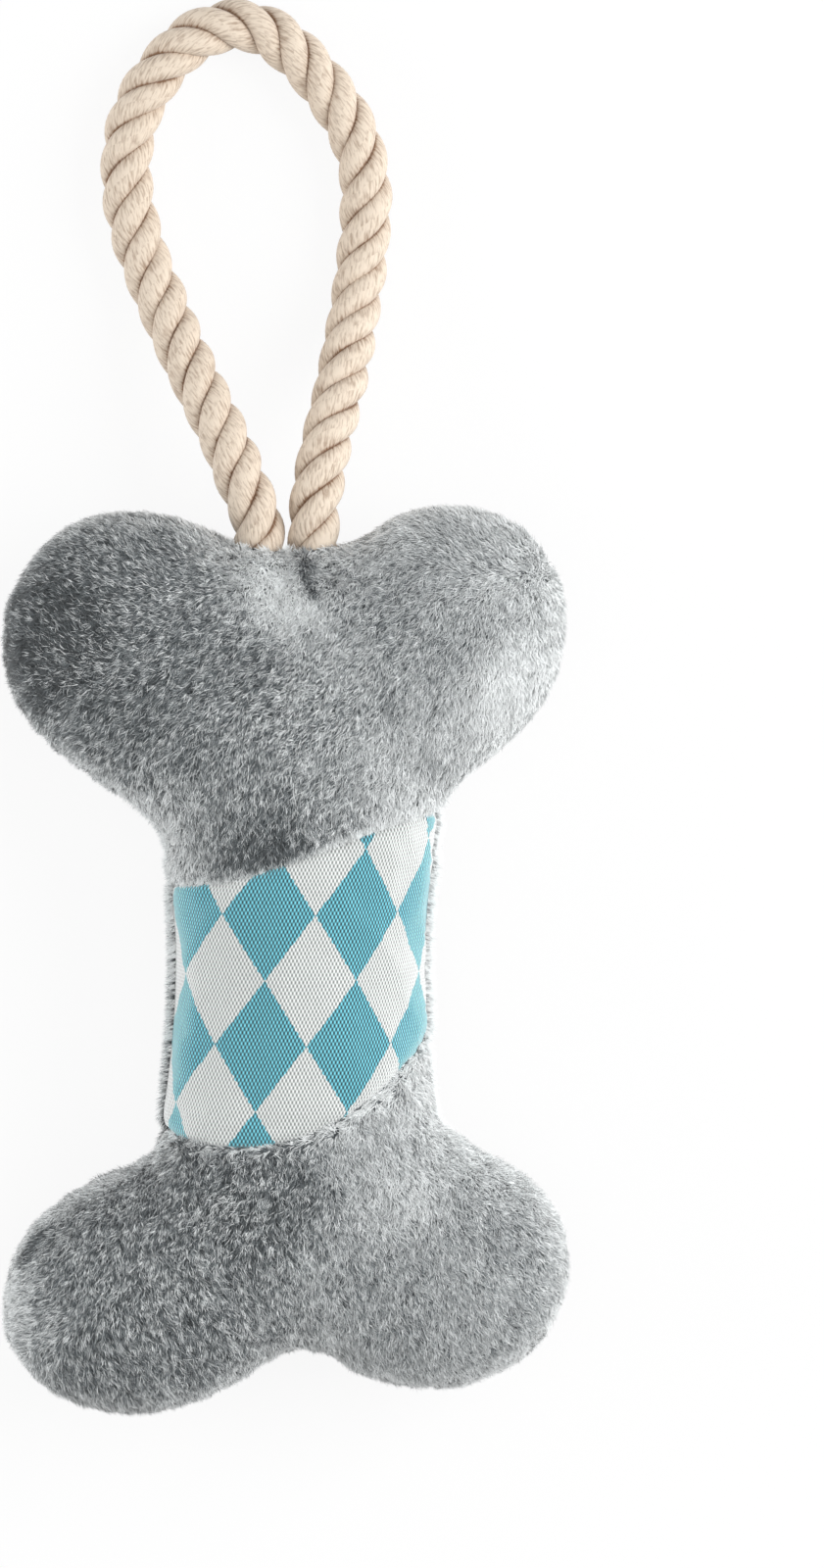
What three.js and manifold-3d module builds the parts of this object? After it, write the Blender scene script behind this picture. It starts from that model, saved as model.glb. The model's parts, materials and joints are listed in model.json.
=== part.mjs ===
// A stuffed plush dog toy in the shape of a bone, lying on its back, with a loop of cotton rope sewn into its
// top end and a squeaker inside. Millimetres, +X to the right, +Y along the toy towards the rope, +Z up.
// The origin is on the floor, under the middle of the bone.
import * as THREE from "three";
import { mergeVertices } from "three/addons/utils/BufferGeometryUtils.js";
import Module from "manifold-3d";

const wasm = await Module();
wasm.setup();

// Outline of the bone, seen from the front. A lobe is measured outwards from the origin: side is its widest
// reach across and sideAt how far along it comes, end is its reach along and crownAt how far across it comes,
// neck is the half width where the lobe meets the waist, and neckAt how far along that is.
const upperLeftLobe = { side: 71.2, sideAt: 78, end: 112, crownAt: 39.7, neck: 31.5, neckAt: 27 };
const upperRightLobe = { side: 70.4, sideAt: 86.5, end: 113.4, crownAt: 42, neck: 38.7, neckAt: 34 };
const lowerLeftLobe = { side: 71, sideAt: 86, end: 113.4, crownAt: 39.7, neck: 31, neckAt: 38 };
const lowerRightLobe = { side: 71.2, sideAt: 77, end: 108.4, crownAt: 36, neck: 37.8, neckAt: 32 };
const upperNotch = { across: 2, along: 101.5, handleShare: 0.5 };
const lowerNotch = { across: 4, along: 98.2, handleShare: 0.2 };
const waistLeft = 29.9;
const waistRight = 35.6;
const crownHandleShare = 0.55;
const shoulderHandleShare = 0.58;
const neckHandleShare = 0.28;
const neckFlareShare = 0.02;

// Stuffing: how far the front and the back rise from the seam's plane at their fullest, and the distance over
// which the fibre evens out their height. The back is pressed flat by restFlatDepth where it rests.
const frontRise = 27.6;
const backRise = 28.6;
const stuffingReach = 17;
const restFlatDepth = 0.5;

// Cloth: depths are measured inwards from the tips of the pile.
const plushThickness = 3;
const canvasThickness = 0.8;
const fillingClearance = 0.3;

// Seams: the cloth edges stand apart by the thread and a clearance on each side of it.
const threadDiameter = 0.8;
const threadClearance = 0.3;
const edgeThreadDepth = 2.1;
const bandThreadDepth = 2.6;
const bandThreadEndHeight = 2;
const closingSeamLength = 56;
const closingSeamFromNotch = 122;

// The canvas band: how far along each of its two seams is at the left, at the right and at the two handles
// between them.
const upperBandSeam = { left: 17.5, leftHandle: 14, rightHandle: 31.5, right: 37 };
const lowerBandSeam = { left: -41, leftHandle: -50.5, rightHandle: -46, right: -13 };
const bandSeamAcrossShares = [-1.3, -0.42, 0.38, 1.2];

// Rope
const ropeDiameter = 12;
const ropeLegGap = 1.8;
const ropeTailLength = 28;
const ropeExitAlong = 102;
const ropeRootLength = 16;
const ropeFaceGap = 0.3;
const ropeHoleClearance = 0.3;
const bindingThickness = 0.4;
const bindingLength = 6;
const anchorBandThickness = 0.8;
const anchorBandWidth = 3;
const anchorBandFromExit = 11;

// Middle line of the free rope, from the left leg's exit round to the right leg's: across, along, up.
const ropeRoute = [
  [-6.9, 102, 28.1],
  [-6.9, 107, 28.1],
  [-8.2, 112, 27.7],
  [-10.3, 117, 26.7],
  [-14.2, 127, 23.3],
  [-18.9, 137, 19],
  [-23.7, 147, 14.4],
  [-28.2, 157, 10.2],
  [-32.4, 167, 7.3],
  [-35.9, 176, 6.3],
  [-38.6, 186, 6.2],
  [-39.6, 195, 6.2],
  [-38.9, 204, 6.2],
  [-36.2, 212.5, 6.2],
  [-31.2, 220.8, 6.2],
  [-25.5, 227, 6.2],
  [-19, 231, 6.2],
  [-12.5, 232.4, 6.2],
  [-5.8, 231.2, 6.2],
  [0.5, 227.3, 6.2],
  [7, 220.6, 6.2],
  [13, 213, 6.2],
  [17.6, 204.5, 6.2],
  [20, 195, 6.2],
  [20.4, 186, 6.2],
  [19.6, 176, 6.3],
  [18.4, 167, 7.3],
  [16.8, 157, 10.2],
  [14.8, 147, 14.4],
  [12.6, 137, 19],
  [10, 127, 23.3],
  [7.9, 117, 26.7],
  [7.1, 112, 27.7],
  [6.9, 107, 28.1],
  [6.9, 102, 28.1],
];

// Squeaker: a flat hollow bulb with a voice plug in its mouth, which faces the canvas.
const bulbRadius = 20;
const bulbHeight = 18;
const bulbWall = 1.2;
const bulbEdgeRadius = 6;
const bulbAcross = 3;
const bulbAlong = -4;
const bulbBelowSeamShare = 0.5;
const plugBarrelRadius = 4.3;
const plugBoreRadius = 2.2;
const plugFlangeRadius = 6.5;
const plugFlangeThickness = 1.2;
const plugBarrelLength = 6;
const plugClearance = 0.3;
const reedThickness = 0.3;
const reedLengthShare = 0.85;

// Fineness of the meshes
const lobeSegments = 17;
const headRings = 6;
const waistColumns = 10;
const waistRows = 6;
const waistGridShare = 0.86;
const headCentreShare = 0.68;
const seamSegments = 20;
const outlineThreadSteps = 80;
const bandThreadSteps = 26;
const threadSides = 6;
const ropeSides = 10;
const ropeSteps = 30;
const rootSteps = 3;
const roundSegments = 20;
const edgeArcSegments = 4;
const sweepsOfSolver = 500;
const solverOverShare = 1.8;
const mergeDistance = 0.001;
const cutOverrun = 10;

const ropeRadius = ropeDiameter / 2;
const threadRadius = threadDiameter / 2;
const seamSlot = threadDiameter + 2 * threadClearance;
const fillingDepth = plushThickness + fillingClearance;
const canvasDepth = plushThickness - canvasThickness;
const necksAt = [upperLeftLobe, upperRightLobe, lowerLeftLobe, lowerRightLobe].map((lobe) => lobe.neckAt);
const waistGridHalf = waistGridShare * Math.min(...necksAt);
const widest = 2 * Math.max(upperLeftLobe.side, upperRightLobe.side, lowerLeftLobe.side, lowerRightLobe.side);
const longest = 2 * Math.max(upperLeftLobe.end, upperRightLobe.end, lowerLeftLobe.end, lowerRightLobe.end);

const plushGrey = new THREE.MeshStandardMaterial({ color: "#8f9597", roughness: 0.95, metalness: 0 });
const canvasBlue = new THREE.MeshStandardMaterial({ color: "#a9cdd4", roughness: 0.9, metalness: 0 });
const threadGrey = new THREE.MeshStandardMaterial({ color: "#6f7577", roughness: 0.8, metalness: 0 });
const fibreWhite = new THREE.MeshStandardMaterial({ color: "#f2f2ef", roughness: 1, metalness: 0 });
const ropeCotton = new THREE.MeshStandardMaterial({ color: "#dccbb8", roughness: 0.9, metalness: 0 });
const twineWhite = new THREE.MeshStandardMaterial({ color: "#e9e4da", roughness: 0.85, metalness: 0 });
const softPlastic = new THREE.MeshStandardMaterial({ color: "#e8ebe9", roughness: 0.45, metalness: 0 });
const hardPlastic = new THREE.MeshStandardMaterial({ color: "#d9dcda", roughness: 0.35, metalness: 0 });

// A closed mesh as a solid that can be cut and joined.
function solidFrom(geometry) {
  const bare = geometry.index ? geometry.toNonIndexed() : geometry.clone();
  bare.deleteAttribute("normal");
  bare.deleteAttribute("uv");
  const merged = mergeVertices(bare, mergeDistance);
  return new wasm.Manifold(
    new wasm.Mesh({
      numProp: 3,
      vertProperties: merged.attributes.position.array,
      triVerts: new Uint32Array(merged.index.array),
    }),
  );
}

function geometryFrom(solid) {
  const mesh = solid.getMesh();
  const geometry = new THREE.BufferGeometry();
  geometry.setAttribute("position", new THREE.BufferAttribute(mesh.vertProperties, mesh.numProp));
  geometry.setIndex(new THREE.BufferAttribute(mesh.triVerts, 1));
  geometry.computeVertexNormals();
  return geometry;
}

function geometryOfTriangles(points, triangles) {
  const geometry = new THREE.BufferGeometry().setFromPoints(points);
  geometry.setIndex(triangles.flat());
  geometry.computeVertexNormals();
  return geometry;
}

// Half width of the waist at a distance along from the middle, which widens towards the neck of a lobe.
function waistHalfWidth(middle, lobe, along) {
  return middle + (lobe.neck - middle) * (along / lobe.neckAt) ** 2;
}

// One quarter of the outline, from the notch to where the waist begins, with outwards positive both ways.
function lobePoints(lobe, notch, handSign, middle) {
  const corner = (across, along) => new THREE.Vector2(across, along);
  const notchAcross = handSign * notch.across;
  const crownRun = lobe.crownAt - notchAcross;
  const shoulderRun = lobe.sideAt - lobe.neckAt;
  const neckFlare = neckFlareShare * lobe.side;
  const path = new THREE.CurvePath();
  path.add(
    new THREE.CubicBezierCurve(
      corner(notchAcross, notch.along),
      corner(notchAcross + notch.handleShare * crownRun, notch.along),
      corner(lobe.crownAt - crownHandleShare * crownRun, lobe.end),
      corner(lobe.crownAt, lobe.end),
    ),
  );
  path.add(
    new THREE.EllipseCurve(
      lobe.crownAt,
      lobe.sideAt,
      lobe.side - lobe.crownAt,
      lobe.end - lobe.sideAt,
      Math.PI / 2,
      0,
      true,
    ),
  );
  path.add(
    new THREE.CubicBezierCurve(
      corner(lobe.side, lobe.sideAt),
      corner(lobe.side, lobe.sideAt - shoulderHandleShare * shoulderRun),
      corner(lobe.neck + neckFlare, lobe.neckAt + neckHandleShare * shoulderRun),
      corner(lobe.neck, lobe.neckAt),
    ),
  );
  path.add(
    new THREE.LineCurve(
      corner(lobe.neck, lobe.neckAt),
      corner(waistHalfWidth(middle, lobe, waistGridHalf), waistGridHalf),
    ),
  );
  return path.getSpacedPoints(lobeSegments);
}

// The bone laid flat: points in the seam's plane, triangles that run anticlockwise, and the loop of points
// along the outline, which starts at the upper notch and goes round by the left.
function flatBone() {
  const points = [];
  const triangles = [];
  const addPoint = (across, along) => points.push(new THREE.Vector2(across, along)) - 1;

  const rows = [];
  for (let row = 0; row <= waistRows; row++) {
    const along = THREE.MathUtils.lerp(waistGridHalf, -waistGridHalf, row / waistRows);
    const leftLobe = along > 0 ? upperLeftLobe : lowerLeftLobe;
    const rightLobe = along > 0 ? upperRightLobe : lowerRightLobe;
    const left = -waistHalfWidth(waistLeft, leftLobe, along);
    const right = waistHalfWidth(waistRight, rightLobe, along);
    rows.push([]);
    for (let column = 0; column <= waistColumns; column++) {
      const share = (1 - Math.cos((Math.PI * column) / waistColumns)) / 2;
      rows[row].push(addPoint(THREE.MathUtils.lerp(left, right, share), along));
    }
  }
  for (let row = 0; row < waistRows; row++) {
    for (let column = 0; column < waistColumns; column++) {
      const upper = [rows[row][column], rows[row][column + 1]];
      const lower = [rows[row + 1][column], rows[row + 1][column + 1]];
      triangles.push([lower[0], lower[1], upper[1]], [lower[0], upper[1], upper[0]]);
    }
  }

  // A head is drawn as rings round a centre. The rings close up towards the outline, where the cloth is steep.
  function addHead(outline, divide, centre) {
    const loop = [...outline, ...divide];
    const centreIndex = addPoint(centre.x, centre.y);
    const rings = [];
    for (let ring = 1; ring < headRings; ring++) {
      const share = Math.sin((Math.PI / 2) * (ring / headRings));
      const spokes = loop.map((index) => centre.clone().lerp(points[index], share));
      rings.push(spokes.map((spoke) => addPoint(spoke.x, spoke.y)));
    }
    rings.push(loop);
    for (let spoke = 0; spoke < loop.length; spoke++) {
      const next = (spoke + 1) % loop.length;
      triangles.push([centreIndex, rings[0][spoke], rings[0][next]]);
      for (let ring = 0; ring < headRings - 1; ring++) {
        const inner = rings[ring];
        const outer = rings[ring + 1];
        triangles.push([inner[spoke], outer[spoke], outer[next]], [inner[spoke], outer[next], inner[next]]);
      }
    }
  }

  function addLobe(lobe, notch, acrossSign, alongSign, middle) {
    const shape = lobePoints(lobe, notch, acrossSign, middle);
    return shape.map((point) => new THREE.Vector2(acrossSign * point.x, alongSign * point.y));
  }

  const firstRow = rows[0];
  const lastRow = rows[waistRows];
  const indices = (shape) => shape.map((point) => addPoint(point.x, point.y));
  const upperLeft = indices(addLobe(upperLeftLobe, upperNotch, -1, 1, waistLeft).slice(0, -1));
  const upperRight = indices(addLobe(upperRightLobe, upperNotch, 1, 1, waistRight).slice(1, -1));
  const lowerLeft = indices(addLobe(lowerLeftLobe, lowerNotch, -1, -1, waistLeft).slice(0, -1));
  const lowerRight = indices(addLobe(lowerRightLobe, lowerNotch, 1, -1, waistRight).slice(1, -1));
  const upperCentre = new THREE.Vector2(upperNotch.across, headCentreShare * upperNotch.along);
  const lowerCentre = new THREE.Vector2(lowerNotch.across, -headCentreShare * lowerNotch.along);
  addHead([...upperRight.slice().reverse(), ...upperLeft], firstRow, upperCentre);
  addHead([...lowerLeft.slice().reverse(), ...lowerRight], lastRow.slice().reverse(), lowerCentre);

  const outline = [
    ...upperLeft,
    ...rows.map((row) => row[0]),
    ...lowerLeft.slice().reverse(),
    ...lowerRight,
    ...rows.map((row) => row[waistColumns]).reverse(),
    ...upperRight.slice().reverse(),
  ];
  return { points, triangles, outline };
}

// How high the stuffing lifts each point, as a share of the fullest point: the square root of the deflection of
// an evenly loaded membrane, held at its outline, on springs that give it the stuffing's reach.
function liftShares({ points, triangles, outline }) {
  const neighbours = points.map(() => new Map());
  const load = points.map(() => 0);
  for (const triangle of triangles) {
    for (let corner = 0; corner < 3; corner++) {
      const [tip, one, other] = [0, 1, 2].map((step) => triangle[(corner + step) % 3]);
      const sideOne = points[one].clone().sub(points[tip]);
      const sideOther = points[other].clone().sub(points[tip]);
      const twiceArea = sideOne.cross(sideOther);
      const weight = sideOne.dot(sideOther) / twiceArea / 2;
      neighbours[one].set(other, (neighbours[one].get(other) ?? 0) + weight);
      neighbours[other].set(one, (neighbours[other].get(one) ?? 0) + weight);
      load[tip] += twiceArea / 3;
    }
  }
  const held = new Set(outline);
  const deflection = points.map(() => 0);
  for (let sweep = 0; sweep < sweepsOfSolver; sweep++) {
    for (let index = 0; index < points.length; index++) {
      if (held.has(index)) continue;
      let pull = load[index];
      let stiffness = load[index] / stuffingReach ** 2 / 2;
      for (const [neighbour, weight] of neighbours[index]) {
        pull += weight * deflection[neighbour];
        stiffness += weight;
      }
      deflection[index] += solverOverShare * (pull / stiffness - deflection[index]);
    }
  }
  const deepest = Math.max(...deflection);
  return deflection.map((value) => Math.sqrt(Math.max(value, 0) / deepest));
}

const bone = flatBone();
const lifts = liftShares(bone);
const onOutline = new Set(bone.outline);
const seamHeight = backRise - restFlatDepth;

// Closed skin of the bone: every point on the front, then every point on the back.
function stuffedSurface() {
  const count = bone.points.length;
  const at = (index, rise) =>
    new THREE.Vector3(bone.points[index].x, bone.points[index].y, seamHeight + rise * lifts[index]);
  const points = [
    ...bone.points.map((point, index) => at(index, frontRise)),
    ...bone.points.map((point, index) => at(index, -backRise)),
  ];
  const backIndex = (index) => (onOutline.has(index) ? index : index + count);
  const triangles = [
    ...bone.triangles,
    ...bone.triangles.map(([a, b, c]) => [backIndex(a), backIndex(c), backIndex(b)]),
  ];
  const normals = geometryOfTriangles(points, triangles).attributes.normal;
  const directions = points.map((point, index) => {
    const flatIndex = index % count;
    const atEdge = onOutline.has(flatIndex);
    const direction = new THREE.Vector3().fromBufferAttribute(normals, atEdge ? flatIndex : index);
    if (atEdge) direction.setZ(0);
    return direction.normalize();
  });
  return { points, directions, triangles };
}

const skin = stuffedSurface();

// The skin moved inwards: one half of it, front (0) or back (1).
function layer(depth, half) {
  const first = half * bone.points.length;
  return bone.points.map((point, index) =>
    skin.points[first + index].clone().addScaledVector(skin.directions[first + index], -depth),
  );
}

// A sheet of cloth over one half of the bone, with its edge standing off the seam's plane by half the slot.
function clothShell(half, outerDepth, innerDepth) {
  const count = bone.points.length;
  const side = half === 0 ? 1 : -1;
  const outer = layer(outerDepth, half);
  const inner = layer(innerDepth, half);
  for (const index of bone.outline) {
    outer[index].z = seamHeight + (side * seamSlot) / 2;
    inner[index].z = outer[index].z;
  }
  const triangles = [];
  for (const [a, b, c] of bone.triangles) {
    triangles.push([a, b, c], [a + count, c + count, b + count]);
  }
  bone.outline.forEach((from, place) => {
    const to = bone.outline[(place + 1) % bone.outline.length];
    triangles.push([from, to + count, to], [from, from + count, to + count]);
  });
  const outward = side > 0 ? triangles : triangles.map(([a, b, c]) => [a, c, b]);
  return solidFrom(geometryOfTriangles([...outer, ...inner], outward));
}

// The whole inside of the cloth as one lump.
function stuffedLump(depth) {
  return solidFrom(geometryOfTriangles([...layer(depth, 0), ...layer(depth, 1)], skin.triangles));
}

function prism(outline, low, high) {
  const geometry = new THREE.ExtrudeGeometry(new THREE.Shape(outline), { depth: high - low, bevelEnabled: false });
  return solidFrom(geometry.translate(0, 0, low));
}

function tube(path, radius, sides, steps) {
  const corners = Array.from({ length: sides }, (unused, side) => {
    const angle = (2 * Math.PI * side) / sides;
    return new THREE.Vector2(radius * Math.cos(angle), radius * Math.sin(angle));
  });
  return new THREE.ExtrudeGeometry(new THREE.Shape(corners), { steps, extrudePath: path, bevelEnabled: false });
}

// Part of a curve, between two distances along it.
class Stretch extends THREE.Curve {
  constructor(whole, from, to) {
    super();
    this.whole = whole;
    this.fromShare = from / whole.getLength();
    this.toShare = to / whole.getLength();
  }

  getPoint(share, target) {
    return this.whole.getPointAt(THREE.MathUtils.lerp(this.fromShare, this.toShare, share), target);
  }
}

function piece(name, geometry, material) {
  const mesh = new THREE.Mesh(geometry, material);
  mesh.name = name;
  return mesh;
}

// Middle line of one slanted seam of the canvas, as seen from the front.
function bandSeamCurve(seam) {
  const halfWidths = [waistLeft, waistLeft, waistRight, waistRight];
  const alongs = [seam.left, seam.leftHandle, seam.rightHandle, seam.right];
  const controls = alongs.map(
    (along, place) => new THREE.Vector2(bandSeamAcrossShares[place] * halfWidths[place], along),
  );
  return new THREE.CubicBezierCurve(...controls);
}

function besideCurve(curve, distance) {
  const points = [];
  for (let step = 0; step <= seamSegments; step++) {
    const tangent = curve.getTangent(step / seamSegments);
    const across = new THREE.Vector2(-tangent.y, tangent.x);
    points.push(curve.getPoint(step / seamSegments).addScaledVector(across, distance));
  }
  return points;
}

const upperSeam = bandSeamCurve(upperBandSeam);
const lowerSeam = bandSeamCurve(lowerBandSeam);
const farAcross = widest / 2 + cutOverrun;
const farAlong = longest / 2 + cutOverrun;
const top = 2 * seamHeight + cutOverrun;

// The regions of the front, each as seen from the front, with half a slot taken off at every seam.
function frontRegions() {
  const aboveUpper = besideCurve(upperSeam, seamSlot / 2);
  const belowUpper = besideCurve(upperSeam, -seamSlot / 2);
  const aboveLower = besideCurve(lowerSeam, seamSlot / 2);
  const belowLower = besideCurve(lowerSeam, -seamSlot / 2);
  const beyond = (acrossSign, along) => new THREE.Vector2(acrossSign * farAcross, along);
  const last = seamSegments;
  return {
    upper: [
      beyond(-1, farAlong),
      beyond(-1, aboveUpper[0].y),
      ...aboveUpper,
      beyond(1, aboveUpper[last].y),
      beyond(1, farAlong),
    ],
    waist: [...aboveLower, ...belowUpper.slice().reverse()],
    lower: [
      beyond(-1, -farAlong),
      beyond(1, -farAlong),
      beyond(1, belowLower[last].y),
      ...belowLower.slice().reverse(),
      beyond(-1, belowLower[0].y),
    ],
  };
}

const ropeLegAcross = ropeRadius + ropeLegGap / 2;

// A round bar along Y, from one place along the toy to another, at the seam's height.
function barAlong(across, radius, from, to, segments) {
  const bar = new THREE.CylinderGeometry(radius, radius, to - from, segments);
  return bar.translate(across, (from + to) / 2, seamHeight);
}

function ropeHoles() {
  const radius = ropeRadius + ropeHoleClearance;
  const from = ropeExitAlong - ropeTailLength;
  const to = ropeExitAlong + cutOverrun;
  const left = solidFrom(barAlong(-ropeLegAcross, radius, from, to, roundSegments));
  const right = solidFrom(barAlong(ropeLegAcross, radius, from, to, roundSegments));
  return left.add(right);
}

// A racetrack outline round both legs of the rope.
function racetrack(clearance) {
  const radius = ropeRadius + clearance;
  const path = new THREE.Shape();
  path.absarc(ropeLegAcross, 0, radius, -Math.PI / 2, Math.PI / 2, false);
  path.absarc(-ropeLegAcross, 0, radius, Math.PI / 2, (3 * Math.PI) / 2, false);
  path.closePath();
  return path;
}

// An extruded outline that stands across the rope, from one place along the toy to another.
function acrossRope(shape, from, to) {
  const block = new THREE.ExtrudeGeometry(shape, {
    depth: to - from,
    bevelEnabled: false,
    curveSegments: roundSegments / 2,
  });
  return block.rotateX(Math.PI / 2).translate(0, to, seamHeight);
}

function frontPanels() {
  const regions = frontRegions();
  const plush = clothShell(0, 0, plushThickness);
  const canvas = clothShell(0, canvasDepth, plushThickness);
  const cut = (sheet, region) => geometryFrom(sheet.intersect(prism(region, 0, top)));
  const upper = plush.intersect(prism(regions.upper, 0, top)).subtract(ropeHoles());
  return [
    piece("front_upper_panel", geometryFrom(upper), plushGrey),
    piece("front_waist_panel", cut(canvas, regions.waist), canvasBlue),
    piece("front_lower_panel", cut(plush, regions.lower), plushGrey),
  ];
}

// The back is one sheet of plush, pressed flat where it rests on the floor.
function backPanel() {
  const floor = new THREE.BoxGeometry(2 * farAcross, 2 * farAlong, cutOverrun);
  const below = solidFrom(floor.translate(0, 0, -cutOverrun / 2));
  const sheet = clothShell(1, 0, plushThickness).subtract(below).subtract(ropeHoles());
  return piece("back_panel", geometryFrom(sheet), plushGrey);
}

// The seam between front and back runs round the outline from one leg of the rope to the other. One stretch of
// it is the gap that the toy was filled through, closed last.
function edgeThreads() {
  const inward = layer(edgeThreadDepth, 0);
  const outline = new THREE.CatmullRomCurve3(bone.outline.map((index) => inward[index]), true);
  const whole = outline.getLength();
  const besideRope = ropeLegAcross + ropeRadius + ropeHoleClearance + threadClearance;
  const closingFrom = whole / 2 + closingSeamFromNotch;
  const closingTo = closingFrom + closingSeamLength;
  const stretches = [
    ["edge_seam_thread_left", besideRope + upperNotch.across, closingFrom - threadClearance],
    ["closing_seam_thread", closingFrom, closingTo],
    ["edge_seam_thread_right", closingTo + threadClearance, whole - besideRope + upperNotch.across],
  ];
  return stretches.map(([name, from, to]) => {
    const steps = Math.ceil((outlineThreadSteps * (to - from)) / whole);
    return piece(name, tube(new Stretch(outline, from, to), threadRadius, threadSides, steps), threadGrey);
  });
}

// Height of a layer of the front above the floor, under a point of the seam's plane, or null beside it.
function heightUnder(surface, point) {
  const triangle = new THREE.Triangle();
  const weights = new THREE.Vector3();
  const flatten = (vertex) => new THREE.Vector3(vertex.x, vertex.y, 0);
  for (const corners of bone.triangles) {
    const [a, b, c] = corners.map((index) => surface[index]);
    triangle.set(flatten(a), flatten(b), flatten(c));
    const inside = triangle.containsPoint(new THREE.Vector3(point.x, point.y, 0));
    if (!inside) continue;
    triangle.getBarycoord(new THREE.Vector3(point.x, point.y, 0), weights);
    return weights.x * a.z + weights.y * b.z + weights.z * c.z;
  }
  return null;
}

// The thread of one slanted seam lies in the slot between canvas and plush.
function bandThread(name, seam) {
  const surface = layer(bandThreadDepth, 0);
  const points = [];
  for (let step = 0; step <= 3 * seamSegments; step++) {
    const share = (1 - Math.cos((Math.PI * step) / (3 * seamSegments))) / 2;
    const point = seam.getPoint(share);
    const height = heightUnder(surface, point);
    if (height === null || height < seamHeight + bandThreadEndHeight) continue;
    points.push(new THREE.Vector3(point.x, point.y, height));
  }
  const path = new THREE.CatmullRomCurve3(points, false, "centripetal");
  return piece(name, tube(path, threadRadius, threadSides, bandThreadSteps), threadGrey);
}

const bulbFloor = seamHeight - bulbBelowSeamShare * bulbHeight;
const bulbMouthRadius = plugBarrelRadius + plugClearance;
const plugTop = bulbHeight + plugClearance + plugFlangeThickness;

// Half section of the bulb, at a distance outside its skin: up its side from the axis to the top face.
function bulbProfile(outside) {
  const radius = bulbRadius + outside;
  const edge = bulbEdgeRadius + outside;
  const low = -outside;
  const high = bulbHeight + outside;
  const points = [new THREE.Vector2(0, low)];
  const arc = (centre, from, to) => {
    for (let step = 0; step <= edgeArcSegments; step++) {
      const angle = THREE.MathUtils.lerp(from, to, step / edgeArcSegments);
      points.push(new THREE.Vector2(radius - edge + edge * Math.cos(angle), centre + edge * Math.sin(angle)));
    }
  };
  arc(low + edge, -Math.PI / 2, 0);
  arc(high - edge, 0, Math.PI / 2);
  return points;
}

function squeaker() {
  const inside = bulbProfile(-bulbWall).slice().reverse();
  const bulb = [
    ...bulbProfile(0),
    new THREE.Vector2(bulbMouthRadius, bulbHeight),
    new THREE.Vector2(bulbMouthRadius, bulbHeight - bulbWall),
    ...inside,
  ];
  const barrelFoot = bulbHeight - plugBarrelLength;
  const flangeFoot = plugTop - plugFlangeThickness;
  const plug = [
    new THREE.Vector2(plugBoreRadius, barrelFoot),
    new THREE.Vector2(plugBarrelRadius, barrelFoot),
    new THREE.Vector2(plugBarrelRadius, flangeFoot),
    new THREE.Vector2(plugFlangeRadius, flangeFoot),
    new THREE.Vector2(plugFlangeRadius, plugTop),
    new THREE.Vector2(plugBoreRadius, plugTop),
    new THREE.Vector2(plugBoreRadius, barrelFoot),
  ];
  const reedWidth = 2 * (plugBoreRadius - plugClearance);
  const reedLength = reedLengthShare * (plugTop - barrelFoot);
  const reed = new THREE.BoxGeometry(reedWidth, reedThickness, reedLength);
  const pieces = [
    piece("squeaker_bulb", new THREE.LatheGeometry(bulb, roundSegments).rotateX(Math.PI / 2), softPlastic),
    piece("squeaker_plug", new THREE.LatheGeometry(plug, roundSegments).rotateX(Math.PI / 2), hardPlastic),
    piece("squeaker_reed", reed.translate(0, 0, (barrelFoot + plugTop) / 2), softPlastic),
  ];
  const group = new THREE.Group();
  group.add(...pieces);
  group.position.set(bulbAcross, bulbAlong, bulbFloor);
  return group;
}

// The fibre fills the cloth and leaves room for the squeaker, for the way up from its plug and for the rope.
function filling() {
  const room = bulbProfile(fillingClearance);
  room.push(new THREE.Vector2(0, bulbHeight + fillingClearance));
  const bulbRoom = new THREE.LatheGeometry(room, roundSegments).rotateX(Math.PI / 2);
  const wayUp = new THREE.CylinderGeometry(
    plugFlangeRadius + fillingClearance,
    plugFlangeRadius + fillingClearance,
    top,
    roundSegments,
  );
  wayUp.rotateX(Math.PI / 2).translate(0, 0, bulbHeight - plugBarrelLength + top / 2);
  const squeakerRoom = solidFrom(bulbRoom).add(solidFrom(wayUp)).translate([bulbAcross, bulbAlong, bulbFloor]);
  const roundRope = ropeHoleClearance + anchorBandThickness + fillingClearance;
  const tailFoot = ropeExitAlong - ropeTailLength - fillingClearance;
  const ropeRoom = solidFrom(acrossRope(racetrack(roundRope), tailFoot, ropeExitAlong + cutOverrun));
  const lump = stuffedLump(fillingDepth).subtract(squeakerRoom).subtract(ropeRoom);
  return piece("fibre_filling", geometryFrom(lump), fibreWhite);
}

// The sewn-in tails of the rope, each with its end bound, and the stitched band that holds them both.
function ropeTails() {
  const foot = ropeExitAlong - ropeTailLength;
  const bindingInside = ropeRadius + ropeHoleClearance;
  const bindingRing = new THREE.Shape().absarc(0, 0, bindingInside + bindingThickness, 0, 2 * Math.PI, false);
  bindingRing.holes.push(new THREE.Path().absarc(0, 0, bindingInside, 0, 2 * Math.PI, true));
  const tails = [
    ["left", -ropeLegAcross],
    ["right", ropeLegAcross],
  ].flatMap(([hand, across]) => [
    piece(
      `rope_tail_${hand}`,
      barAlong(across, ropeRadius, foot, ropeExitAlong - ropeFaceGap, ropeSides),
      ropeCotton,
    ),
    piece(
      `rope_end_binding_${hand}`,
      acrossRope(bindingRing, foot, foot + bindingLength).translate(across, 0, 0),
      twineWhite,
    ),
  ]);
  const band = racetrack(ropeHoleClearance + anchorBandThickness);
  band.holes.push(racetrack(ropeHoleClearance));
  const bandFoot = ropeExitAlong - anchorBandFromExit;
  return [
    ...tails,
    piece("rope_anchor_stitching", acrossRope(band, bandFoot, bandFoot + anchorBandWidth), twineWhite),
  ];
}

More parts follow.
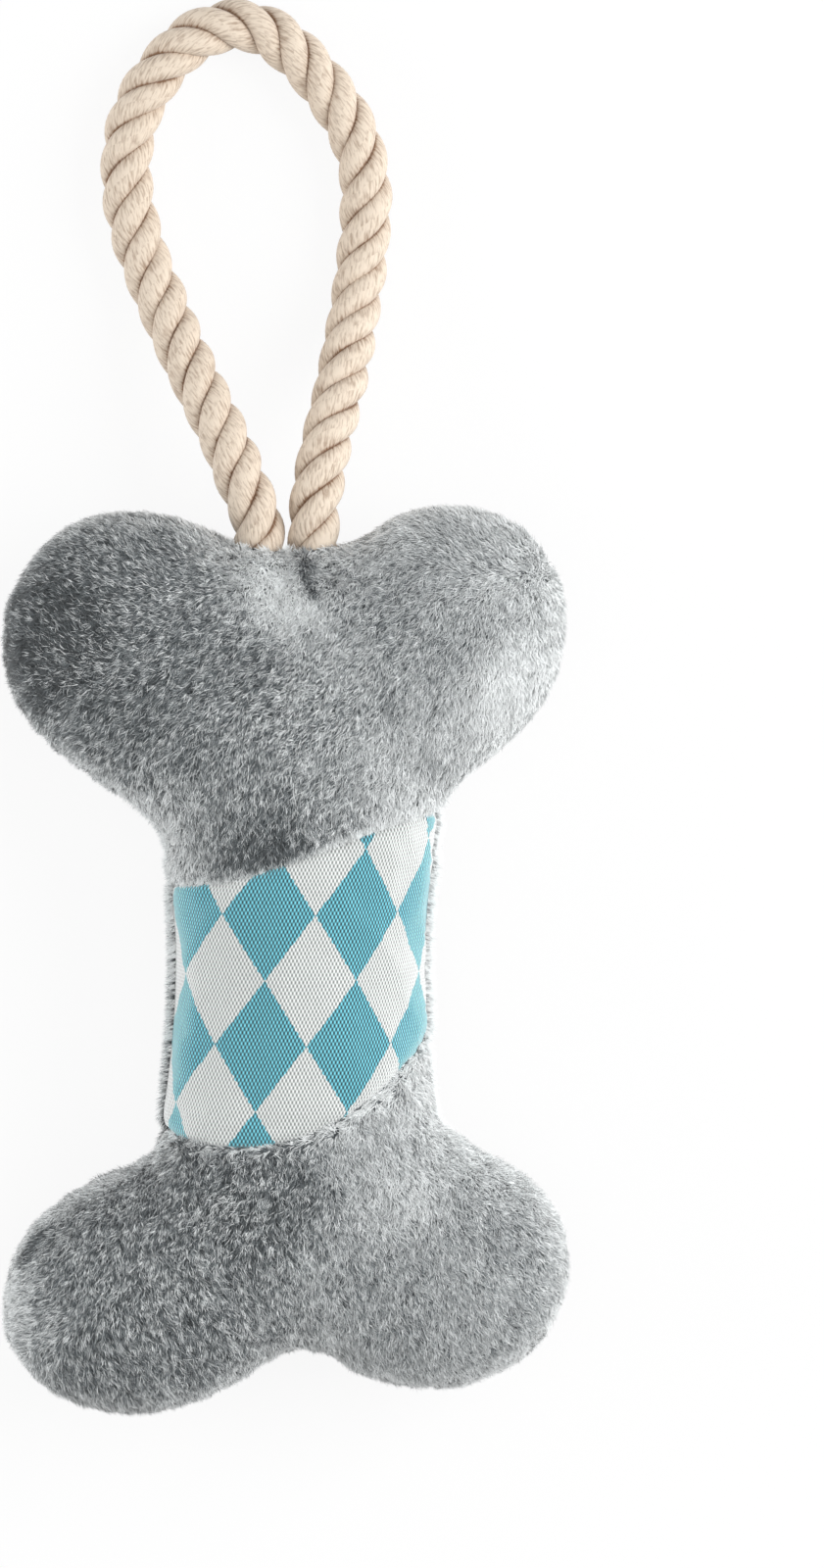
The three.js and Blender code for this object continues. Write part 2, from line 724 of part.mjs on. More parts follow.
// The free rope: a short root beside the seam at each leg, and the loop between them.
function freeRope() {
  const route = new THREE.CatmullRomCurve3(ropeRoute.map((place) => new THREE.Vector3(...place)));
  const whole = route.getLength();
  const loopFrom = ropeRootLength + ropeFaceGap;
  const stretches = [
    ["rope_root_left", 0, ropeRootLength, rootSteps],
    ["rope_loop", loopFrom, whole - loopFrom, ropeSteps],
    ["rope_root_right", whole - ropeRootLength, whole, rootSteps],
  ];
  return stretches.map(([name, from, to, steps]) =>
    piece(name, tube(new Stretch(route, from, to), ropeRadius, ropeSides, steps), ropeCotton),
  );
}

const toy = new THREE.Group();
toy.add(
  ...frontPanels(),
  backPanel(),
  ...edgeThreads(),
  bandThread("upper_band_thread", upperSeam),
  bandThread("lower_band_thread", lowerSeam),
  filling(),
  squeaker(),
  ...ropeTails(),
  ...freeRope(),
);

export default toy;
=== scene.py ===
"""A stuffed plush bone for a dog, with a printed canvas band round its waist and a loop of cotton rope.

Metres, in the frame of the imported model: +X to the right, +Y along the bone towards the rope, +Z up.
"""
import json
import math
from collections import namedtuple
from functools import lru_cache, partial

import bmesh
import bpy
import numpy as np
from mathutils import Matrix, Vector, geometry, noise
from mathutils.bvhtree import BVHTree


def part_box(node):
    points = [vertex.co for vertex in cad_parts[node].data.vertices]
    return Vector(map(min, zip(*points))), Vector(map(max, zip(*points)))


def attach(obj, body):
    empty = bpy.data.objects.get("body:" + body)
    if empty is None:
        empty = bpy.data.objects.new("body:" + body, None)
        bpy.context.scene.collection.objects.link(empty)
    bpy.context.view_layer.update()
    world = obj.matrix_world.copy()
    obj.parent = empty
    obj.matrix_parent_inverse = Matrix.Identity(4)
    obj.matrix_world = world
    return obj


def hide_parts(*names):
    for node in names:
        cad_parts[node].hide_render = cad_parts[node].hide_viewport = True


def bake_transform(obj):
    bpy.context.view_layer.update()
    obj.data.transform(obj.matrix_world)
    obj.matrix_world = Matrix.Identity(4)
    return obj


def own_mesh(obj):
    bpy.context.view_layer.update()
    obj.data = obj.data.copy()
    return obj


bl_info = {
    "name": "Plush bone with a rope loop",
    "version": (1, 0, 0),
    "blender": (4, 5, 0),
    "location": "3D View > Sidebar > Plush bone",
    "description": "Makes the cloth, pile, rope and stitching of a stuffed dog toy round its frame",
    "category": "Object",
}

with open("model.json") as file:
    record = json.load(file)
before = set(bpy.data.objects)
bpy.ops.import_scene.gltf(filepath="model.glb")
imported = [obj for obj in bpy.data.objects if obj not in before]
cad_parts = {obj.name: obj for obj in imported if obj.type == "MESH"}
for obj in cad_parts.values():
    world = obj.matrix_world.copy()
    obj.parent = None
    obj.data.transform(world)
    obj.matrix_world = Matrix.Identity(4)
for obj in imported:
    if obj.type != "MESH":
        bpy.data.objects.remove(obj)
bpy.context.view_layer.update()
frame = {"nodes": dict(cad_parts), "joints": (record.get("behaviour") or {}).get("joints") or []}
MM = 0.001
MM2 = MM * MM
TURN = 2 * math.pi
FRONT, BACK = 0, 1
UPPER, WAIST, LOWER = 0, 1, 2

# Outline of the bone, seen from the front. A lobe is measured outwards from the origin: side is its widest
# reach across and side_at how far along it comes, end is its reach along and crown_at how far across it
# comes, neck is the half width where the lobe meets the waist, neck_at how far along that is, and fullness the
# share of the shoulder that stays wide.
Lobe = namedtuple("Lobe", "side side_at end crown_at neck neck_at fullness")
Notch = namedtuple("Notch", "across along handle_share")
UPPER_LEFT = Lobe(0.0712, 0.078, 0.112, 0.0397, 0.0307, 0.027, 0.61)
UPPER_RIGHT = Lobe(0.0706, 0.0845, 0.1134, 0.042, 0.0388, 0.0335, 0.64)
LOWER_LEFT = Lobe(0.0711, 0.088, 0.1145, 0.0397, 0.0318, 0.043, 0.8)
LOWER_RIGHT = Lobe(0.0714, 0.077, 0.1084, 0.036, 0.0376, 0.0375, 0.75)
UPPER_NOTCH = Notch(0.002, 0.1015, 0.5)
LOWER_NOTCH = Notch(0.004, 0.0982, 0.2)
WAIST_LEFT = 0.0278
WAIST_RIGHT = 0.0349
CROWN_HANDLE_SHARE = 0.55
NECK_HANDLE_SHARE = 0.28
NECK_FLARE_SHARE = 0.02

# The canvas band: how far along each of its seams is at four places across, which are shares of the waist.
BAND_SEAM_SHARES = (-1.3, -0.42, 0.38, 1.2)
UPPER_BAND_SEAM = (0.0189, 0.0153, 0.0322, 0.0368)
LOWER_BAND_SEAM = (-0.0405, -0.0505, -0.0485, -0.0135)

# The print on the canvas: how far across the columns of its lozenges' tips come, half a lozenge apart, which
# crowd towards the sides where the cloth turns down; how much each column leans; how far along the middle of a
# blue lozenge comes, and how far the rows bow up by the sides.
TIP_COLUMNS = (-0.0252, -0.0169, -0.0054, 0.0061, 0.0177, 0.0269, 0.033)
FIRST_TIP_COLUMN = -2
COLUMN_LEAN = math.radians(4.3)
BLUE_MIDDLE = 0.0115
ROW_BOW = 0.0017
ROW_BOW_MIDDLE = 0.0025
ROW_BOW_REACH = 0.031

# The rope's middle line, from the left leg's exit round to the right leg's: across, along, up.
ROPE_ROUTE = (
    (-0.0069, 0.102, 0.0281), (-0.0069, 0.107, 0.0281), (-0.0082, 0.112, 0.0277), (-0.0103, 0.117, 0.0267),
    (-0.0142, 0.127, 0.0233), (-0.0189, 0.137, 0.019), (-0.0237, 0.147, 0.0144), (-0.0282, 0.157, 0.0102),
    (-0.0324, 0.167, 0.0073), (-0.0359, 0.176, 0.0063), (-0.0386, 0.186, 0.0062), (-0.0396, 0.195, 0.0062),
    (-0.0389, 0.204, 0.0062), (-0.0362, 0.2125, 0.0062), (-0.0312, 0.2208, 0.0062), (-0.0255, 0.227, 0.0062),
    (-0.019, 0.231, 0.0062), (-0.0125, 0.2324, 0.0062), (-0.0058, 0.2312, 0.0062), (0.0005, 0.2273, 0.0062),
    (0.007, 0.2206, 0.0062), (0.013, 0.213, 0.0062), (0.0176, 0.2045, 0.0062), (0.02, 0.195, 0.0062),
    (0.0204, 0.186, 0.0062), (0.0196, 0.176, 0.0063), (0.0184, 0.167, 0.0073), (0.0168, 0.157, 0.0102),
    (0.0148, 0.147, 0.0144), (0.0126, 0.137, 0.019), (0.01, 0.127, 0.0233), (0.0079, 0.117, 0.0267),
    (0.0071, 0.112, 0.0277), (0.0069, 0.107, 0.0281), (0.0069, 0.102, 0.0281),
)  # fmt: skip
ROPE_EXIT = ROPE_ROUTE[0]
ROPE_STEP = 0.8 * MM
TAIL_FOOT = 0.074
SEWN_IN = 0.006

# Lines of painted shade where the pile parts: the fold below the rope's right leg, and the seam where it turns to the
# front by the lower left shoulder. Each has its start, its end, how dark its painted shade is and how far it reaches.
Parting = namedtuple("Parting", "start end darkness reach")
PARTINGS = (
    Parting((0.0035, 0.1015), (0.0062, 0.0925), 3.0, 0.0018),
    Parting((-0.0662, -0.0745), (-0.0602, -0.0662), 2.4, 0.0009),
    Parting((-0.0602, -0.0662), (-0.034, -0.0515), 1.1, 0.0009),
)

# How the pile was last brushed: across, along, the way its tips point in degrees, and how pale it is painted, which
# is partly its lay and partly painted light and shade: painted shade on the left, painted light on the right.
BRUSHES = np.array([
    (-0.057, 0.082, 200, -3.6), (-0.047, 0.062, 225, -0.9), (-0.036, 0.102, 150, -0.7), (-0.030, 0.080, 210, -0.8),
    (-0.010, 0.070, 222, -0.7), (-0.008, 0.040, 262, -0.3), (-0.006, 0.027, 268, -1.8), (-0.027, 0.031, 285, 0.5),
    (0.002, 0.094, 262, 2.2), (0.009, 0.097, 262, -0.4), (0.009, 0.053, 235, 0.2), (0.026, 0.088, 230, -0.1),
    (0.026, 0.048, 255, 0.7), (0.045, 0.083, 245, 0.2), (0.045, 0.104, 150, 0.4), (0.060, 0.068, 270, 1.7),
    (-0.066, -0.086, 190, 0.0), (-0.050, -0.077, 262, -0.6), (-0.046, -0.104, 305, -0.8), (-0.022, -0.086, 300, -0.6),
    (-0.010, -0.060, 265, -1.3), (0.009, -0.080, 285, 0.15), (0.026, -0.050, 280, 0.7), (0.046, -0.079, 290, 0.1),
    (0.064, -0.085, 320, -0.1),
])  # fmt: skip
BRUSH_REACH = 6 * MM

# Where the rows of the knit part the pile: across, along, how far that reaches and how strongly.
KNIT_PATCHES = (
    (-0.054, 0.080, 0.016, 1.5),
    (0.004, 0.060, 0.015, 0.6),
    (-0.012, -0.062, 0.014, 0.8),
    (-0.03, -0.085, 0.016, 0.6),
)


def record_joint(name):
    return next(joint for joint in frame["joints"] if joint["name"] == name)


SEAM_HEIGHT = record_joint("rope_swing")["deforming_nodes"][0]["fixed_end_z_m"]


def linear(code):
    """A colour written as sRGB hex, as linear red, green, blue and alpha."""
    parts = [int(code[place : place + 2], 16) / 255 for place in (1, 3, 5)]
    return (*[part / 12.92 if part <= 0.04045 else ((part + 0.055) / 1.055) ** 2.4 for part in parts], 1.0)


def length_property(name, about, default):
    return bpy.props.FloatProperty(name=name, description=about, default=default, min=0, unit="LENGTH", precision=5)


def colour_property(name, about, code):
    return bpy.props.FloatVectorProperty(
        name=name, description=about, default=linear(code), size=4, min=0, max=1, subtype="COLOR"
    )


class PlushBoneBody(bpy.types.PropertyGroup):
    """Sizes of the stuffed body."""

    front_rise: length_property("Front rise", "How far the front rises from the seam's plane", 0.0276)
    back_rise: length_property("Back rise", "How far the back reaches below the seam's plane", 0.0286)
    stuffing_reach: length_property("Stuffing reach", "Distance over which the fibre evens out its height", 0.017)
    pile_depth: length_property("Pile depth", "From the tips of the pile to the knitted cloth", 0.0014)
    canvas_depth: length_property("Canvas depth", "From the body's outer surface to the canvas", 0.0003)
    cloth_thickness: length_property("Cloth thickness", "Thickness of the knitted ground of the plush", 0.0006)
    mesh_spacing: length_property("Mesh spacing", "Distance between points of the cloth", 0.0024)
    band_spacing: length_property("Band spacing", "Distance between points of the canvas", 0.0016)
    swell: length_property("Swell", "The furthest that the stuffing may push the cloth out", 0.0016)
    pucker: length_property("Pucker", "Height of the gathers beside a seam", 0.0005)


class PlushBonePile(bpy.types.PropertyGroup):
    """Sizes and colours of the pile."""

    length: length_property("Length", "Length of a tuft", 0.0024)
    width: length_property("Width", "Width of a tuft", 0.00032)
    front_density: bpy.props.FloatProperty(
        name="Front density", description="Tufts on a square millimetre of the front", default=13, min=0
    )
    back_density: bpy.props.FloatProperty(
        name="Back density", description="Tufts on a square millimetre of the back", default=8, min=0
    )
    lean: bpy.props.FloatProperty(
        name="Lean", description="How far the tufts lie over, from 0 upright to 1 flat", default=0.58, subtype="FACTOR"
    )
    row_pitch: length_property("Row pitch", "Distance between two rows of the knit", 0.0013)
    # Painted shade: tufts are darkened towards this colour at their roots, and the knitted ground is mottled with it
    shaded_root_colour: colour_property("Root colour", "Dyed polyester at the foot of a tuft", "#22272A")
    tip_colour: colour_property("Tip colour", "Dyed polyester at the tip of a tuft", "#6C7376")
    # Painted light: tips are mixed towards this where the pile is painted as lit, and along the outline as a painted
    # highlight
    painted_light_colour: colour_property("Pale colour", "Tips that lie towards the light", "#EFF2F2")


class PlushBoneCanvas(bpy.types.PropertyGroup):
    """Sizes and colours of the canvas band."""

    lozenge_width: length_property("Lozenge width", "Width of a printed lozenge", 0.0243)
    lozenge_height: length_property("Lozenge height", "Height of a printed lozenge", 0.0322)
    warp_pitch: length_property("Warp pitch", "Distance between two warp threads", 0.0005)
    weft_pitch: length_property("Weft pitch", "Distance between two weft threads", 0.00089)
    blue: colour_property("Blue", "Printed lozenges", "#6ABBCB")
    white: colour_property("White", "Bare canvas", "#E4E9E7")


class PlushBoneRope(bpy.types.PropertyGroup):
    """Sizes and colours of the rope."""

    diameter: length_property("Diameter", "Diameter of the laid rope", 0.012)
    lay: length_property("Lay", "Length of one full turn of a strand", 0.029)
    cotton: colour_property("Cotton", "Natural cotton yarn", "#E2D3C1")
    # Painted shade: the grooves between the strands and their flanks are darkened towards this colour, which the yarn's
    # grain and patches also mix towards
    shade: colour_property("Shade", "Cotton in the grooves", "#83644B")


PROPERTY_GROUPS = {
    "plush_bone_body": PlushBoneBody,
    "plush_bone_pile": PlushBonePile,
    "plush_bone_canvas": PlushBoneCanvas,
    "plush_bone_rope": PlushBoneRope,
}


def feed(node, inputs):
    """Sets inputs of a node, by name or in order. Each gets a value, an output, or a node's first output in use."""
    in_use = [socket for socket in node.inputs if socket.enabled]
    for key, value in inputs.items() if isinstance(inputs, dict) else enumerate(inputs):
        socket = node.inputs[key] if isinstance(key, str) else in_use[key]
        if isinstance(value, bpy.types.Node):
            value = next(output for output in value.outputs if output.enabled)
        if isinstance(value, bpy.types.NodeSocket):
            node.id_data.links.new(value, socket)
        else:
            socket.default_value = value


def add_node(tree, kind, inputs=(), **settings):
    """Adds a node with its settings, values and links."""
    node = tree.nodes.new(kind)
    for name, value in settings.items():
        setattr(node, name, value)
    feed(node, inputs)
    return node


def new_material(name, constants):
    """A material, what adds a node to it, and its shader, which gets the values that are the same all over."""
    material = bpy.data.materials.new(name)
    material.use_nodes = True
    shader = material.node_tree.nodes["Principled BSDF"]
    feed(shader, constants)
    return material, partial(add_node, material.node_tree), shader


# A finish of one colour, which a pattern of noise mottles between dark and pale: how many of the pattern's
# features lie in a millimetre, how detailed and how twisted they are, how strong their relief is and how deep.
Mottle = namedtuple("Mottle", "dark pale per_mm detail twist relief relief_mm constants")
MOTTLES = {
    # Twisted, with a dull sheen
    "waxed cotton twine, twisted": Mottle(
        "#D8D0C2", "#F1ECE2", 2, 3.0, 0.0, 0.5, 0.1, {"Roughness": 0.6, "Sheen Weight": 0.2}
    ),
    # Fine, twisted and matt, dark grey, which also stands in for the painted shade of the seams' grooves
    "polyester sewing thread, spun": Mottle(
        "#3C4144", "#62686B", 4, 2.0, 0.0, 0, 0, {"Roughness": 0.7, "Sheen Weight": 0.2}
    ),
    # White, matt and tangled
    "polyester fibre filling, carded": Mottle(
        "#D9DBD9", "#FAFAF8", 0.5, 6.0, 2.5, 0.8, 0.6, {"Roughness": 0.95, "Sheen Weight": 0.5}
    ),
    # Waxy and slightly clouded, with the faint flow marks of the mould
    "soft polyethylene, blown": Mottle("#C9D1CE", "#E2E7E5", 0.12, 4.0, 0.0, 0.2, 0.1, {"Roughness": 0.45}),
    # Waxy too, and a little glossier
    "hard polyethylene, moulded": Mottle("#C4CBC8", "#D6DBD9", 0.12, 4.0, 0.0, 0.2, 0.1, {"Roughness": 0.3}),
    # Smooth and glossy, with a faint cloud
    "polyester film, cut to a reed": Mottle(
        "#B8C4C6", "#CFD8DA", 0.12, 4.0, 0.0, 0.2, 0.1, {"Roughness": 0.2, "IOR": 1.57}
    ),
}


def mottled_material(name):
    """A material of the table, whose pattern gives it both its clouds and its relief."""
    mottle = MOTTLES[name]
    material, add, shader = new_material(name, mottle.constants)
    place = add("ShaderNodeTexCoord").outputs["Object"]
    pattern = add(
        "ShaderNodeTexNoise",
        {"Vector": place, "Scale": mottle.per_mm / MM, "Detail": mottle.detail, "Distortion": mottle.twist},
    )
    colour = add("ShaderNodeMix", (pattern, linear(mottle.dark), linear(mottle.pale)), data_type="RGBA")
    feed(shader, {"Base Color": colour})
    if mottle.relief:
        relief = {"Strength": mottle.relief, "Distance": mottle.relief_mm * MM, "Height": pattern}
        feed(shader, {"Normal": add("ShaderNodeBump", relief)})
    return material


def place_in_scene(name, mesh):
    piece = bpy.data.objects.new(name, mesh)
    bpy.context.scene.collection.objects.link(piece)
    return piece


def shade_smooth(mesh):
    mesh.polygons.foreach_set("use_smooth", [True] * len(mesh.polygons))


def mesh_object(name, points, faces, edges=()):
    mesh = bpy.data.meshes.new(name)
    mesh.from_pydata([tuple(point) for point in points], edges, [tuple(face) for face in faces])
    shade_smooth(mesh)
    mesh.update()
    return place_in_scene(name, mesh)


def read(collection, field, size=1, kind=np.float32):
    """A field of everything in a collection, with a row for each where the field has several numbers."""
    values = np.zeros(size * len(collection), kind)
    collection.foreach_get(field, values)
    return values.reshape(-1, size) if size > 1 else values


def set_attribute(piece, name, values):
    """Writes one number or one vector a point into a mesh."""
    values = np.ascontiguousarray(values, np.float32)
    kind, field = ("FLOAT_VECTOR", "vector") if values.ndim == 2 else ("FLOAT", "value")
    piece.data.attributes.new(name, kind, "POINT").data.foreach_set(field, values.ravel())


def discard(piece):
    data = piece.data
    bpy.data.objects.remove(piece)
    if data.users == 0:
        bpy.data.meshes.remove(data)


def unit(vectors):
    return vectors / np.maximum(np.linalg.norm(vectors, axis=-1, keepdims=True), 1e-12)


def near(distance, reach):
    """A share that stays high within a reach and soon falls to nothing past it."""
    return np.exp(-((distance / reach) ** 2))


def fade(distance, reach):
    """A share that falls from the start, to a third at the reach."""
    return np.exp(-distance / reach)


def ramp(values, start, run):
    """A share that rises from 0 at the start to 1 at the end of a run."""
    return np.clip((values - start) / run, 0, 1)


def distances(points, targets):
    """How far each point is from the nearest target."""
    return np.array([np.linalg.norm(targets - point, axis=1).min() for point in points])


def run_along(line):
    """How far along a line each of its points comes."""
    return np.concatenate([[0], np.cumsum(np.linalg.norm(np.diff(line, axis=0), axis=1))])


def bezier(controls, count):
    share = np.linspace(0, 1, count)[:, None]
    first, second, third, last = (np.array(control, float) for control in controls)
    return (
        (1 - share) ** 3 * first
        + 3 * (1 - share) ** 2 * share * second
        + 3 * (1 - share) * share**2 * third
        + share**3 * last
    )


def spaced(line, spacing):
    """A line again, with its points evenly spaced."""
    along = run_along(line)
    places = np.linspace(0, along[-1], max(2, round(along[-1] / spacing) + 1))
    return np.stack([np.interp(places, along, line[:, axis]) for axis in range(line.shape[1])], axis=1)


# How the flat bone is divided: points on each stretch of a quarter of the outline and on a seam before they are
# spaced out, the outline's spacing as a share of the cloth's, how many spacings inside the outline its rings lie,
# and how clear of outline and seams all other points stay. Near the rope the points lie as close as on the band.
STRETCH_STEPS = 60
SEAM_STEPS = 200
OUTLINE_SPACING_SHARE = 0.7
RING_DEPTHS = (0.12, 0.36, 0.74, 1.3)
OUTLINE_CLEARANCE = 1.9
SEAM_CLEARANCE = 0.45
FINE_BY_ROPE = 18 * MM


def lobe_line(lobe, notch, hand, middle):
    """One quarter of the outline, from the notch to the middle of the waist, with outwards positive both ways."""
    notch_across = hand * notch.across
    crown_run = lobe.crown_at - notch_across
    shoulder_run = lobe.side_at - lobe.neck_at
    crown = bezier(
        (
            (notch_across, notch.along),
            (notch_across + notch.handle_share * crown_run, notch.along),
            (lobe.crown_at - CROWN_HANDLE_SHARE * crown_run, lobe.end),
            (lobe.crown_at, lobe.end),
        ),
        STRETCH_STEPS,
    )
    angle = np.linspace(TURN / 4, 0, STRETCH_STEPS)
    side_across = lobe.crown_at + (lobe.side - lobe.crown_at) * np.cos(angle)
    side = np.stack([side_across, lobe.side_at + (lobe.end - lobe.side_at) * np.sin(angle)], axis=1)
    neck = bezier(
        (
            (lobe.side, lobe.side_at),
            (lobe.side, lobe.side_at - lobe.fullness * shoulder_run),
            (lobe.neck + NECK_FLARE_SHARE * lobe.side, lobe.neck_at + NECK_HANDLE_SHARE * shoulder_run),
            (lobe.neck, lobe.neck_at),
        ),
        STRETCH_STEPS,
    )
    along = np.linspace(lobe.neck_at, 0, STRETCH_STEPS)
    waist = np.stack([middle + (lobe.neck - middle) * (along / lobe.neck_at) ** 2, along], axis=1)
    return np.concatenate([crown, side[1:], neck[1:], waist[1:]])


def outline_loop(spacing):
    """The whole outline, anticlockwise from the upper notch, without a last point that repeats the first."""
    quarters = (
        (lobe_line(UPPER_LEFT, UPPER_NOTCH, -1, WAIST_LEFT), (-1, 1)),
        (lobe_line(LOWER_LEFT, LOWER_NOTCH, -1, WAIST_LEFT)[::-1], (-1, -1)),
        (lobe_line(LOWER_RIGHT, LOWER_NOTCH, 1, WAIST_RIGHT), (1, -1)),
        (lobe_line(UPPER_RIGHT, UPPER_NOTCH, 1, WAIST_RIGHT)[::-1], (1, 1)),
    )
    return spaced(np.concatenate([line * signs for line, signs in quarters]), spacing)[:-1]


def band_seam(alongs):
    """A seam of the canvas band, seen from the front, as a line from left to right."""
    half_widths = (WAIST_LEFT, WAIST_LEFT, WAIST_RIGHT, WAIST_RIGHT)
    acrosses = [share * half for share, half in zip(BAND_SEAM_SHARES, half_widths)]
    return bezier(list(zip(acrosses, alongs)), SEAM_STEPS)


def inside(points, loop):
    """Whether each point lies inside a closed loop."""
    ends = np.roll(loop, -1, axis=0)
    crossed = (loop[:, 1] > points[:, 1:]) != (ends[:, 1] > points[:, 1:])
    rise = np.where(ends[:, 1] == loop[:, 1], 1, ends[:, 1] - loop[:, 1])
    reach = loop[:, 0] + (points[:, 1:] - loop[:, 1]) / rise * (ends[:, 0] - loop[:, 0])
    return (crossed & (points[:, :1] < reach)).sum(1) % 2 == 1


def cut_by_seam(outline, seam):
    """The outline with the two places where a seam meets it, and the seam between them."""
    above = outline[:, 1] - np.interp(outline[:, 0], seam[:, 0], seam[:, 1])
    by_waist = np.abs(outline[:, 1]) < UPPER_LEFT.end / 2
    following = np.roll(above, -1)
    crossings = np.flatnonzero(by_waist & (above * following < 0)).tolist()
    ends = []
    for place in crossings:
        share = above[place] / (above[place] - following[place])
        ends.append(outline[place] + share * (outline[(place + 1) % len(outline)] - outline[place]))
    for place, end in reversed(list(zip(crossings, ends))):
        outline = np.insert(outline, place + 1, end, axis=0)
    left, right = sorted(ends, key=lambda end: end[0])
    between = seam[(seam[:, 0] > left[0] + MM / 2) & (seam[:, 0] < right[0] - MM / 2)]
    return outline, np.concatenate([[left], between, [right]])


def honeycomb(spacing):
    """Points of a triangular grid over the whole bone."""
    half = UPPER_RIGHT.end + spacing
    rows = np.arange(-half, half, spacing * math.sqrt(3) / 2)
    columns = np.arange(-half, half, spacing)
    return np.array([(x + spacing / 2 * (row % 2), y) for row, y in enumerate(rows) for x in columns])


def renumbered(triangles):
    """The points that triangles use, and the triangles by their numbers among those."""
    used, numbers = np.unique(triangles, return_inverse=True)
    return used, numbers.reshape(-1, 3)


def triangulated(points, edges):
    """Anticlockwise triangles between points, which keep the given edges and leave out slivers."""
    made = geometry.delaunay_2d_cdt([Vector(point / MM) for point in points], edges, [], 1, 1e-5)
    flat = np.array([tuple(point) for point in made[0]]) * MM
    triangles = np.array([tuple(face) for face in made[2]])
    corners = flat[triangles]
    sides = corners[:, 1:] - corners[:, :1]
    turn = sides[:, 0, 0] * sides[:, 1, 1] - sides[:, 0, 1] * sides[:, 1, 0]
    triangles[turn < 0] = triangles[turn < 0][:, ::-1]
    used, triangles = renumbered(triangles[np.abs(turn) > 1e-3 * MM2])
    return flat[used], triangles


Flat = namedtuple("Flat", "points triangles edge upper_seam lower_seam region")


@lru_cache
def flat_bone():
    """The bone laid flat, as triangles that follow its outline and the seams of its band."""
    body = bpy.context.scene.plush_bone_body
    loop = outline_loop(OUTLINE_SPACING_SHARE * body.mesh_spacing)
    loop, upper = cut_by_seam(loop, band_seam(UPPER_BAND_SEAM))
    loop, lower = cut_by_seam(loop, band_seam(LOWER_BAND_SEAM))
    seams = [spaced(line, body.band_spacing) for line in (upper, lower)]
    tangents = unit(np.roll(loop, -1, axis=0) - np.roll(loop, 1, axis=0))
    inwards = np.stack([-tangents[:, 1], tangents[:, 0]], axis=1)
    rings = [loop + inwards * depth * body.mesh_spacing for depth in RING_DEPTHS]

    def past_seams(points):
        return [points[:, 1] - np.interp(points[:, 0], seam[:, 0], seam[:, 1]) for seam in seams]

    def in_band(points):
        past_upper, past_lower = past_seams(points)
        return (past_upper < 0) & (past_lower > 0)

    def fine_there(points):
        return in_band(points) | (np.linalg.norm(points - (0, UPPER_NOTCH.along), axis=1) < FINE_BY_ROPE)

    coarse, fine = honeycomb(body.mesh_spacing), honeycomb(body.band_spacing)
    free = np.concatenate([coarse[~fine_there(coarse)], fine[fine_there(fine)]])
    free = free[inside(free, loop)]
    free = free[distances(free, loop) > OUTLINE_CLEARANCE * body.mesh_spacing]
    free = np.concatenate([*rings, free])
    free = free[np.abs(past_seams(free)).min(0) > SEAM_CLEARANCE * body.band_spacing]
    points = np.concatenate([loop, *[seam[1:-1] for seam in seams], free])
    edges = [(place, (place + 1) % len(loop)) for place in range(len(loop))]
    first = len(loop)
    for seam in seams:
        start, end = (int(np.linalg.norm(loop - seam[tip], axis=1).argmin()) for tip in (0, -1))
        chain = [start, *range(first, first + len(seam) - 2), end]
        edges += list(zip(chain, chain[1:]))
        first += len(seam) - 2
    flat, triangles = triangulated(points, edges)
    middles = flat[triangles].mean(1)
    region = np.where(in_band(middles), WAIST, np.where(middles[:, 1] > 0, UPPER, LOWER))
    edge = np.zeros(len(flat), bool)
    edge[rim_edges(triangles).ravel()] = True
    on_seams = [np.abs(past) < 0.02 * MM for past in past_seams(flat)]
    return Flat(flat, triangles, edge, *on_seams, region)


def rim_edges(triangles):
    """The directed edges that only one triangle has."""
    edges = np.concatenate([triangles[:, [0, 1]], triangles[:, [1, 2]], triangles[:, [2, 0]]])
    _, place, count = np.unique(np.sort(edges, axis=1), axis=0, return_inverse=True, return_counts=True)
    return edges[count[place.ravel()] == 1]


# The solver stops at its last step, or once the energy left is this share of the last and this small.
SOLVER_STEPS = 600
SHARE_LEFT = 1e-14
ENERGY_LEFT = 1e-20


def lift_shares(flat):
    """How high the stuffing lifts each point: the root of the deflection of an evenly loaded membrane, held at
    the outline, on springs that give it the stuffing's reach. The sum is solved by conjugate gradients."""
    reach = bpy.context.scene.plush_bone_body.stuffing_reach
    points, triangles = flat.points, flat.triangles
    count = len(points)
    firsts, seconds, weights = [], [], []
    load = np.zeros(count)
    for corner in range(3):
        tip, one, other = (triangles[:, (corner + step) % 3] for step in range(3))
        side_one, side_other = points[one] - points[tip], points[other] - points[tip]
        twice_area = side_one[:, 0] * side_other[:, 1] - side_one[:, 1] * side_other[:, 0]
        weight = (side_one * side_other).sum(1) / twice_area / 2
        firsts += [one, other]
        seconds += [other, one]
        weights += [weight, weight]
        load += np.bincount(tip, twice_area / 3, count)
    firsts, seconds, weights = (np.concatenate(parts) for parts in (firsts, seconds, weights))
    diagonal = np.bincount(firsts, weights, count) + load / (2 * reach**2)
    free = ~flat.edge
    deflection = np.zeros(count)
    rest = np.where(free, load, 0)
    aim = rest / diagonal
    energy = rest @ aim
    for _ in range(SOLVER_STEPS):
        pulled = np.where(free, diagonal * aim - np.bincount(firsts, weights * aim[seconds], count), 0)
        step = energy / (aim @ pulled)
        deflection += step * aim
        rest -= step * pulled
        ready = rest / diagonal
        fresh = rest @ ready
        if fresh < SHARE_LEFT * energy and fresh < ENERGY_LEFT:
            break
        aim = ready + fresh / energy * aim
        energy = fresh
    return np.sqrt(np.clip(deflection, 0, None) / deflection.max())


def vertex_normals(points, triangles):
    corners = points[triangles]
    facing = np.cross(corners[:, 1] - corners[:, 0], corners[:, 2] - corners[:, 0])
    summed = [
        sum(np.bincount(triangles[:, corner], facing[:, axis], len(points)) for corner in range(3))
        for axis in range(3)
    ]
    return unit(np.stack(summed, axis=1))


# The two sides of the cloth: where each point of the flat bone lies on it, and which way it faces there
Skin = namedtuple("Skin", "points normals")

